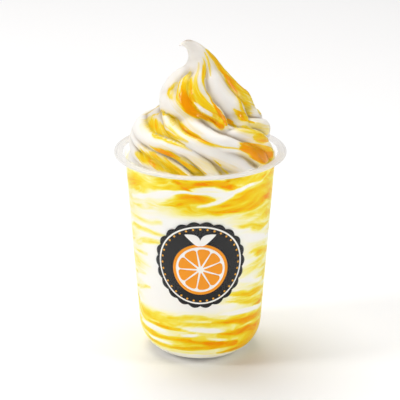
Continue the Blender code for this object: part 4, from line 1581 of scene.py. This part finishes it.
COIL_STROKES = (
    # the groove of the peak: a golden body, an orange heart that runs off to the right, a
    # lemon strip and lobe on the left
    Stroke(((211, 156.1, 1.7, 0.25), (215, 153.5, 2.4, 0.3), (226, 151.5, 1.8, 0.3)), 0.9),
    Stroke(((228, 162.8, 1.2, 0.5), (237, 160.4, 3.0, 0.74), (244, 157.6, 4.0, 0.8),
            (247, 154.7, 4.3, 0.82), (250, 152.2, 3.6, 0.84), (256, 149.8, 2.2, 0.8),
            (262, 147.6, 1.2, 0.7)), 0.45),
    Stroke(((235, 157.2, 1.0, 0.85), (240, 154.4, 2.1, 0.95), (242, 151.5, 2.9, 1.0),
            (246, 148.7, 3.0, 1.0), (250, 146.4, 2.6, 1.0), (256, 144.8, 1.8, 0.95),
            (265, 143.7, 1.4, 0.9), (273, 142.6, 1.2, 0.92), (284, 140.7, 1.3, 0.95),
            (292, 139.2, 1.3, 1.0)), 0.5, (0.0, 0.5)),
    Stroke(((225, 161.5, 0.5, 0.45), (221, 159.3, 0.8, 0.6), (224, 156.6, 0.9, 0.65),
            (227, 153.9, 1.0, 0.65), (230, 151.3, 1.1, 0.65), (236, 149.3, 0.9, 0.6),
            (242, 147.0, 0.7, 0.55), (246, 145, 0.5, 0.45))),
    Stroke(((211, 157.6, 0.7, 0.35), (207, 155.9, 1.3, 0.5), (206, 153.9, 1.5, 0.6),
            (211, 152.3, 1.3, 0.55), (220, 151.1, 0.9, 0.35))),
    # the lemon band left of the long crease, the crease itself and a thread beside it
    Stroke(((252, 168.5, 0.6, 0.3), (257, 164.8, 1.0, 0.42), (259, 161.2, 1.4, 0.54),
            (260, 157.9, 1.8, 0.6), (263, 155.2, 2.2, 0.64), (268, 152.8, 2.6, 0.68),
            (272, 150.2, 2.7, 0.72), (276, 147.6, 2.5, 0.74), (280, 145.0, 2.2, 0.74),
            (285, 142.4, 1.9, 0.76), (290, 140.2, 1.6, 0.8)), 0.6),
    Stroke(((258, 150.6, 0.6, -0.8), (263, 149.0, 1.2, -0.95), (269, 147.2, 1.3, -0.95),
            (275, 145.0, 0.8, -0.8)), 0.4),
    Stroke(((284, 171.5, 0.4, 0.3), (277, 169.2, 0.7, 0.6), (275, 166.3, 1.0, 0.74),
            (276, 163.3, 1.2, 0.78), (276, 160.3, 1.0, 0.72), (278, 157.4, 0.8, 0.76),
            (281, 154.3, 0.9, 0.9), (283, 152, 1.0, 0.95), (284, 149.9, 1.1, 0.95),
            (285, 147.7, 1.3, 1.0), (287, 145, 1.4, 1.0), (291, 142.6, 1.5, 1.0),
            (296, 140.3, 1.4, 1.0))),
    Stroke(((318, 173.5, 0.4, 0.4), (303, 171.2, 0.7, 0.6), (294, 167.6, 0.7, 0.6),
            (292, 163.0, 0.5, 0.4)), 0.6),
    # the right flank of the peak
    Stroke(((350, 156, 2.4, 0.5), (346, 150.5, 3.6, 0.62), (344, 145.3, 4.2, 0.62),
            (344, 141, 3.4, 0.55)), 0.8),
    Stroke(((346, 165, 1.0, 0.7), (350, 161.5, 2.4, 0.74), (354, 157.5, 3.6, 0.74),
            (357, 153, 4.2, 0.72), (359, 148.5, 4.0, 0.7), (360, 144, 3.0, 0.6)), 0.6),
    Stroke(((344, 174.2, 0.8, 0.6), (337, 171.6, 1.4, 0.78), (336, 168.8, 1.7, 0.82),
            (338, 165.8, 2.0, 0.85), (340, 162.9, 2.2, 0.85)), 0.4),
    Stroke(((338, 161, 2.0, 0.9), (338, 158.4, 2.9, 0.92), (339, 155.3, 3.6, 0.86),
            (340, 152.1, 3.8, 0.8), (341, 149.2, 3.2, 0.72), (341, 146.4, 2.0, 0.55)), 0.5),
    Stroke(((335, 160.8, 1.2, 1.0), (336, 157.9, 1.5, 1.0), (337, 154.7, 1.4, 1.0),
            (337, 152.1, 1.0, 0.92)), 0.5),
    Stroke(((339, 153.6, 1.2, 0.7), (330, 151.2, 1.8, 0.76), (322, 148.4, 1.8, 0.76),
            (320, 145.2, 1.8, 0.74), (323, 142.0, 1.8, 0.72), (327, 139.4, 1.4, 0.66),
            (333, 137.4, 0.8, 0.5)), 0.5),
    Stroke(((309, 146.2, 0.8, 0.6), (312, 143.6, 1.7, 0.9), (316, 142.0, 2.2, 0.96),
            (322, 140.8, 1.6, 0.8), (330, 140.0, 1.0, 0.6))),
    Stroke(((300, 140.4, 1.5, 0.95), (306, 139.7, 1.3, 0.9), (310, 137.6, 0.8, 0.8))),
    # the crease under the last turn, and the valley left of it
    Stroke(((188, 136.6, 2.2, 0.4), (198, 136.4, 3.0, 0.56), (208, 136.4, 3.6, 0.66),
            (218, 136.4, 3.8, 0.71), (229, 135.8, 3.5, 0.73), (241, 135.8, 2.6, 0.7),
            (250, 135.0, 1.5, 0.6), (258, 133.8, 0.8, 0.45)), 0.6),
    Stroke(((193, 141.2, 0.8, 0.5), (205, 142.2, 1.1, 0.64), (218, 142.0, 1.4, 0.7),
            (229, 140.8, 1.8, 0.74), (240, 139.3, 2.2, 0.8), (249, 138.2, 2.3, 0.86),
            (257, 136.9, 2.1, 0.9), (263, 135.6, 1.8, 0.9), (269, 134.3, 1.4, 0.86),
            (275, 132.9, 1.1, 0.78), (281, 131.6, 0.8, 0.6), (288, 130.8, 0.6, 0.45),
            (296, 129.8, 0.5, 0.4), (303, 128.4, 0.5, 0.45)), 0.5),
    Stroke(((200, 139.0, 0.5, -0.6), (214, 139.0, 0.7, -0.9), (226, 138.2, 0.7, -0.9),
            (238, 136.9, 0.6, -0.85), (247, 135.9, 0.4, -0.6)), 0.5),
    Stroke(((209, 134.8, 0.6, 0.5), (220, 133.9, 0.9, 0.65), (229, 133.3, 0.9, 0.65),
            (237, 133.0, 0.8, 0.6), (245, 132.5, 0.8, 0.6), (251, 131.8, 0.7, 0.6),
            (256, 130.8, 0.6, 0.55), (262, 129.2, 0.4, 0.4))),
    Stroke(((222, 134.4, 0.5, 0.6), (232, 134.2, 0.6, 0.75), (242, 133.6, 0.6, 0.75),
            (249, 133.0, 0.6, 0.75), (256, 131.6, 0.5, 0.55))),
    Stroke(((188, 137.4, 0.7, 0.4), (191, 138.7, 1.0, 0.6), (195, 139.8, 0.7, 0.5))),
    # the creases in front and on the left, down to the rim
    Stroke(((212, 126.9, 0.5, 0.45), (217, 126.6, 0.7, 0.55), (222, 126.3, 0.5, 0.4))),
    Stroke(((224, 128.5, 0.5, 0.4), (228, 127.7, 0.7, 0.6), (232, 126.9, 1.1, 0.85),
            (237, 126.8, 1.5, 1.0), (243, 126.4, 1.6, 1.0), (248, 125.7, 1.2, 0.95),
            (253, 124.8, 0.8, 0.8)), 0.4),
    Stroke(((243, 125.0, 0.9, 0.6), (250, 124.0, 1.6, 0.72), (256, 122.6, 2.2, 0.76),
            (261, 120.5, 2.3, 0.76), (266, 118.0, 2.1, 0.74), (271, 115.4, 1.8, 0.7))),
    Stroke(((255, 125.6, 0.4, 0.4), (261, 123.6, 0.6, 0.6), (266, 121.5, 0.7, 0.65),
            (270, 119.6, 0.7, 0.65), (274, 117.2, 0.7, 0.65))),
    Stroke(((208, 121.4, 1.6, 0.45), (214, 121.8, 2.9, 0.62), (222, 121.9, 3.7, 0.7),
            (230, 121.4, 3.8, 0.72), (238, 120.4, 3.4, 0.74), (246, 118.9, 2.8, 0.76),
            (254, 117.1, 2.1, 0.78), (262, 115.4, 1.4, 0.74)), 0.4),
    Stroke(((260, 126.0, 2.0, 0.12), (272, 122.6, 3.6, 0.2), (286, 118.8, 4.2, 0.22),
            (300, 115.0, 3.4, 0.16)), 0.9),
    Stroke(((280, 124.3, 0.4, 0.4), (284, 121.8, 0.6, 0.65), (288, 118.9, 0.7, 0.65),
            (292, 116, 0.7, 0.6))),
    Stroke(((285, 117.6, 0.6, 0.4), (286, 116.4, 0.7, 0.45))),
    # the pool at the rim and the shelf over it
    Stroke(((305, 130.8, 1.0, 0.8), (313, 128.8, 2.0, 0.84), (323, 126.2, 2.4, 0.84),
            (335, 122.8, 2.4, 0.82), (346, 119.4, 2.0, 0.78)), 0.5),
    Stroke(((303, 129.0, 1.0, 0.95), (308, 128.0, 2.0, 1.0), (314, 126.0, 2.8, 1.0),
            (321, 122.8, 3.6, 1.0), (329, 119.8, 4.4, 1.0), (343, 116.8, 4.0, 1.0)), 0.25),
    Stroke(((310, 137.4, 2.8, 0.34), (322, 135.6, 4.2, 0.46), (334, 133.2, 4.2, 0.46),
            (348, 130.5, 3.0, 0.36)), 0.9),
    Stroke(((320, 132.6, 1.3, 0.7), (326, 131, 2.8, 0.84), (333, 129.2, 2.8, 0.86),
            (341, 127.8, 1.6, 0.7))),
    Stroke(((317, 137.4, 1.2, 0.5), (320, 136.2, 2.3, 0.62), (324, 134.8, 1.8, 0.55)), 0.7),
)


# ---------------------------------------------------------------------------------------------
# The print
# ---------------------------------------------------------------------------------------------


@dataclass
class CitrusBadge:
    """A generic printed badge on the front: a citrus wheel with two leaves on a dark disc."""

    cup: CupShell
    centre_height: float = 64.0
    disc_radius: float = 26.0
    scallops: int = 22
    scallop_depth: float = 1.3
    ring_radius: float = 23.4
    ring_width: float = 0.9
    dots: int = 36
    dot_radius: float = 0.6
    dot_ring: float = 21.6
    wheel_radius: float = 15.2
    wheel_drop: float = 2.4
    rind_width: float = 1.7
    pith_width: float = 1.2
    segments: int = 9
    segment_gap: float = 1.1
    segment_start: float = 0.4
    segment_corner: float = 1.6
    segment_bow: float = 0.10
    segment_grid: tuple[int, int] = (15, 9)
    leaf_length: float = 10.5
    leaf_width: float = 4.6
    leaf_bow: float = 0.12
    leaf_lean: float = 52.0
    leaf_root: float = 1.0
    leaf_grid: tuple[int, int] = (15, 7)
    disc_sides: int = 176
    dot_sides: int = 12
    film: float = 0.05
    film_share: float = 0.9
    detail: float = 0.9

    def wrap(self, flat: Array, layer: int) -> Array:
        """Bend flat points round the cup's wall.

        Args:
            flat: points as (across, up) from the badge's middle.
            layer: how many films lie under this one.

        Returns:
            Points on the wall.
        """
        heights = self.centre_height + flat[:, 1]
        radii = self.cup.wall_radius(heights) + self.film * (layer + 1)
        azimuths = math.radians(FRONT) + flat[:, 0] / self.cup.wall_radius(self.centre_height)
        return np.stack([radii * np.cos(azimuths), radii * np.sin(azimuths), heights], axis=1)

    def print_film(self, name: str, flat: Array, faces: list, layer: int, ink: Ink) -> Object:
        """Make one film of ink on the wall.

        Args:
            name: the piece's name.
            flat: its points before they are wrapped.
            faces: its faces, anticlockwise seen from outside.
            layer: how many films lie under it.
            ink: its colour.

        Returns:
            The piece, with its thickness.
        """
        piece = mesh_object(name, self.wrap(flat, layer), faces, ScreenPrint(ink).material())
        return self.thicken(piece)

    def thicken(self, piece: Object) -> Object:
        """Give a flat piece its film's thickness and dress it.

        Args:
            piece: the piece, which lies on the wall.

        Returns:
            The same piece.
        """
        thickness = piece.modifiers.new("film", "SOLIDIFY")
        thickness.thickness = self.film * MM * self.film_share
        thickness.offset = -1.0
        dress(piece, Slot.CLEAR_PLASTIC)
        return piece

    def disc(self, inner: float, outer: Callable[[Array], Array] | float, centre: float
             ) -> tuple[Array, list]:
        """Lay out a flat disc or ring.

        Args:
            inner: its inner radius, 0 for a disc.
            outer: its outer radius, or a function of the angle.
            centre: how far its middle lies above the badge's.

        Returns:
            Flat points and faces.
        """
        angles = np.linspace(0.0, FULL_TURN, self.disc_sides, endpoint=False)
        edge = outer(angles) if callable(outer) else np.full(len(angles), outer)
        rows = max(2, round(float(edge.max() - inner) / self.detail) + 1)
        rings = []
        for share in np.linspace(1.0, 0.0 if inner else 1.0 / rows, rows):
            radii = inner + (edge - inner) * share
            rings.append(np.stack([radii * np.cos(angles), radii * np.sin(angles) + centre], axis=1))
        points = np.vstack(rings)
        faces = grid_faces(rows, len(angles), closed=True)
        if not inner:
            points = np.vstack([points, [(0.0, centre)]])
            last = (rows - 1) * len(angles)
            faces += [(last + side, last + (side + 1) % len(angles), len(points) - 1)
                      for side in range(len(angles))]
        return points, faces

    def segment(self) -> tuple[Array, list]:
        """Lay out one rounded segment of the wheel along +X.

        Returns:
            Flat points and faces.
        """
        outer = self.wheel_radius - self.rind_width - self.pith_width
        half = math.pi / self.segments
        inner = self.segment_gap / 2 / math.sin(half) + self.segment_start
        corner = self.segment_corner
        along, wide = self.segment_grid
        rows = []
        for share in 0.5 - 0.5 * np.cos(np.linspace(0.0, math.pi, along)):
            radius = inner + (outer - inner) * share
            side = radius * math.tan(half) - self.segment_gap / 2
            over = max(0.0, radius - (outer - corner))
            side -= corner - math.sqrt(max(corner ** 2 - over ** 2, 0.0))
            side = max(side, self.film)
            rows.append([(radius - self.segment_bow * (across * side) ** 2 / corner, across * side)
                         for across in np.linspace(-1.0, 1.0, wide)])
        points = np.array(rows).reshape(-1, 2)
        return points, [face[::-1] for face in grid_faces(along, wide, closed=False)]

    def ring_of_copies(self) -> GeometryNodeTree:
        """Build the tree that sets turned copies of a shape round Z.

        Returns:
            A tree with the inputs Geometry, Count, Radius and Material.
        """
        tree, (shape, count, radius, finish) = new_tree(
            "ring_of_copies", Count="Int", Radius="Float", Material="Material")
        ring = add_node(tree, "GeometryNodeMeshCircle", None, None,
                        {"Vertices": count, "Radius": radius})
        index = add_node(tree, "GeometryNodeInputIndex")
        step = add_node(tree, "ShaderNodeMath", {"operation": "DIVIDE"}, {0: FULL_TURN}, {1: count})
        angle = add_node(tree, "ShaderNodeMath", {"operation": "MULTIPLY"}, None,
                         {0: index.outputs[0], 1: step.outputs[0]})
        turn = add_node(tree, "ShaderNodeCombineXYZ", None, None, {"Z": angle.outputs[0]})
        copies = add_node(tree, "GeometryNodeInstanceOnPoints", None, None,
                          {"Points": ring.outputs["Mesh"], "Instance": shape,
                           "Rotation": turn.outputs[0]})
        end_tree(tree, copies.outputs[0], finish)
        return tree

    def print_ring(self, name: str, flat: Array, faces: list, count: int, radius: float,
                   centre: float, layer: int, ink: Ink) -> Object:
        """Print turned copies of a flat shape round a point.

        Args:
            name: the piece's name.
            flat: the shape's flat points.
            faces: its faces.
            count: how many copies.
            radius: how far from the middle each copy's origin lies.
            centre: how far the ring's middle lies above the badge's.
            layer: how many films lie under it.
            ink: its colour.

        Returns:
            The piece.
        """
        finish = ScreenPrint(ink).material()
        piece = mesh_object(name, np.column_stack([flat, np.zeros(len(flat))]), faces, finish)
        run_nodes(piece, self.ring_of_copies(),
                  {"Count": count, "Radius": radius * MM, "Material": finish})
        spread = np.zeros(len(piece.data.vertices) * 3)
        piece.data.vertices.foreach_get("co", spread)
        spread = spread.reshape(-1, 3)[:, :2] / MM
        wrapped = self.wrap(spread + (0.0, centre), layer) * MM
        piece.data.vertices.foreach_set("co", wrapped.ravel())
        piece.data.update()
        return self.thicken(piece)

    def leaf(self, lean: float) -> tuple[Array, list]:
        """Lay out a leaf that grows from the wheel's top.

        Args:
            lean: the leaf's direction in degrees from up, positive to the left.

        Returns:
            Flat points and faces.
        """
        along, wide = self.leaf_grid
        rows = []
        for share in np.linspace(0.0, 1.0, along):
            half = max(0.03, self.leaf_width / 2 * math.sin(math.pi * share ** 0.8) ** 0.8)
            bow = self.leaf_bow * self.leaf_length * math.sin(math.pi * share)
            rows.append([(across * half + bow * math.copysign(1, lean), share * self.leaf_length)
                         for across in np.linspace(1.0, -1.0, wide)])
        flat = np.array(rows).reshape(-1, 2)
        turn = math.radians(lean)
        across = flat[:, 0] * math.cos(turn) - flat[:, 1] * math.sin(turn)
        up = flat[:, 0] * math.sin(turn) + flat[:, 1] * math.cos(turn)
        base = self.wheel_radius - self.wheel_drop - self.leaf_root
        return np.stack([across, up + base], axis=1), grid_faces(along, wide, closed=False)

    def build(self) -> None:
        """Print the badge, film on film."""
        drop = -self.wheel_drop

        def scalloped(angles: Array) -> Array:
            """Radius of the disc's edge, in round scallops."""
            return self.disc_radius - self.scallop_depth * (1 - np.abs(
                np.cos(angles * self.scallops / 2)))

        self.print_film("badge_disc", *self.disc(0.0, scalloped, 0.0), 0, Ink.CHARCOAL)
        self.print_film("badge_ring",
                        *self.disc(self.ring_radius - self.ring_width, self.ring_radius, 0.0),
                        1, Ink.WHITE)
        angles = np.linspace(0.0, FULL_TURN, self.dot_sides, endpoint=False)
        dot = self.dot_radius * np.stack([np.cos(angles), np.sin(angles)], axis=1)
        self.print_ring("badge_dots", dot, [tuple(range(self.dot_sides))], self.dots,
                        self.dot_ring, 0.0, 1, Ink.AMBER)
        self.print_film("badge_rind", *self.disc(0.0, self.wheel_radius, drop), 1, Ink.ORANGE)
        self.print_film("badge_pith", *self.disc(0.0, self.wheel_radius - self.rind_width, drop),
                        2, Ink.WHITE)
        self.print_ring("badge_segments", *self.segment(), self.segments, 0.0, drop, 3, Ink.ORANGE)
        self.print_film("badge_leaf_left", *self.leaf(self.leaf_lean), 2, Ink.WHITE)
        self.print_film("badge_leaf_right", *self.leaf(-self.leaf_lean), 2, Ink.WHITE)


# ---------------------------------------------------------------------------------------------
# The studio
# ---------------------------------------------------------------------------------------------


@dataclass
class Studio:
    """Pale floor, soft light and the photograph's camera; sizes here are metres."""

    aim: tuple[float, float, float] = (0.0, 0.0, 0.09)
    distance: float = 0.9
    elevation: float = 20.44
    sensor: float = 36.0
    lens: float = 145.575
    shift: tuple[float, float] = (-0.00075, -0.010175)
    floor_radius: float = 5.0
    floor_sides: int = 64
    sky: float = 0.2
    sky_colour: str = "#FDFDFF"
    lamps: tuple[tuple, ...] = (
        # name, place, width and height, watts
        ("overhead", (-0.35, 0.6, 2.2), (1.7, 1.7), 42.0),
        ("left_box", (-1.1, -0.25, 0.75), (0.25, 0.45), 5.5),
        ("right_box", (1.05, -0.35, 0.7), (0.25, 0.45), 3.9),
        ("front", (0.05, -1.5, 0.1), (0.6, 0.3), 6.2),
    )

    def camera(self) -> None:
        """Place the camera at the photograph's angle."""
        lens = bpy.data.cameras.new("camera")
        lens.sensor_width = self.sensor
        lens.lens = self.lens
        lens.shift_x, lens.shift_y = self.shift
        camera = bpy.data.objects.new("camera", lens)
        bpy.context.scene.collection.objects.link(camera)
        rise = math.radians(self.elevation)
        back = Vector((0.0, -math.cos(rise), math.sin(rise)))
        camera.location = Vector(self.aim) + self.distance * back
        camera.rotation_euler = (-back).to_track_quat("-Z", "Y").to_euler()
        bpy.context.scene.camera = camera

    def softbox(self, name: str, place: Sequence[float], size: Sequence[float], power: float
                ) -> None:
        """Hang a white rectangular lamp that faces the object.

        Args:
            name: the lamp's name.
            place: where it hangs.
            size: its width and height.
            power: its power in watts.
        """
        lamp = bpy.data.lights.new(name, "AREA")
        lamp.shape = "RECTANGLE"
        lamp.size, lamp.size_y = size
        lamp.energy = power
        box = bpy.data.objects.new(name, lamp)
        bpy.context.scene.collection.objects.link(box)
        box.location = place
        box.rotation_euler = (Vector(self.aim) - Vector(place)).to_track_quat("-Z", "Y").to_euler()

    def build(self) -> None:
        """Lay the floor, hang the lamps and light the room."""
        angles = np.linspace(0.0, FULL_TURN, self.floor_sides, endpoint=False)
        rim = self.floor_radius / MM * np.stack([np.cos(angles), np.sin(angles), 0 * angles], axis=1)
        floor = mesh_object("floor", rim, [tuple(range(self.floor_sides))],
                            StudioPaper().material())
        world = bpy.data.worlds.new("studio")
        world.use_nodes = True
        sky = world.node_tree.nodes["Background"].inputs
        sky["Color"].default_value = linear(self.sky_colour)
        sky["Strength"].default_value = self.sky
        bpy.context.scene.world = world
        bpy.context.scene.view_settings.view_transform = "Standard"
        for lamp in self.lamps:
            self.softbox(*lamp)
        self.camera()


def main() -> None:
    """Build the sundae cup and its studio."""
    logging.basicConfig(level=logging.INFO, format="%(name)s: %(message)s")
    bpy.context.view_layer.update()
    cup = CupShell()
    shell = cup.build()
    dress(shell, Slot.CLEAR_PLASTIC, CadNode.CUP)
    for piece in SoftServe(cup, Coil()).build():
        dress(piece, Slot.SOFT_SERVE, CadNode.SOFT_SERVE)
    CitrusBadge(cup).build()
    Studio().build()


if __name__ == "__main__":
    main()
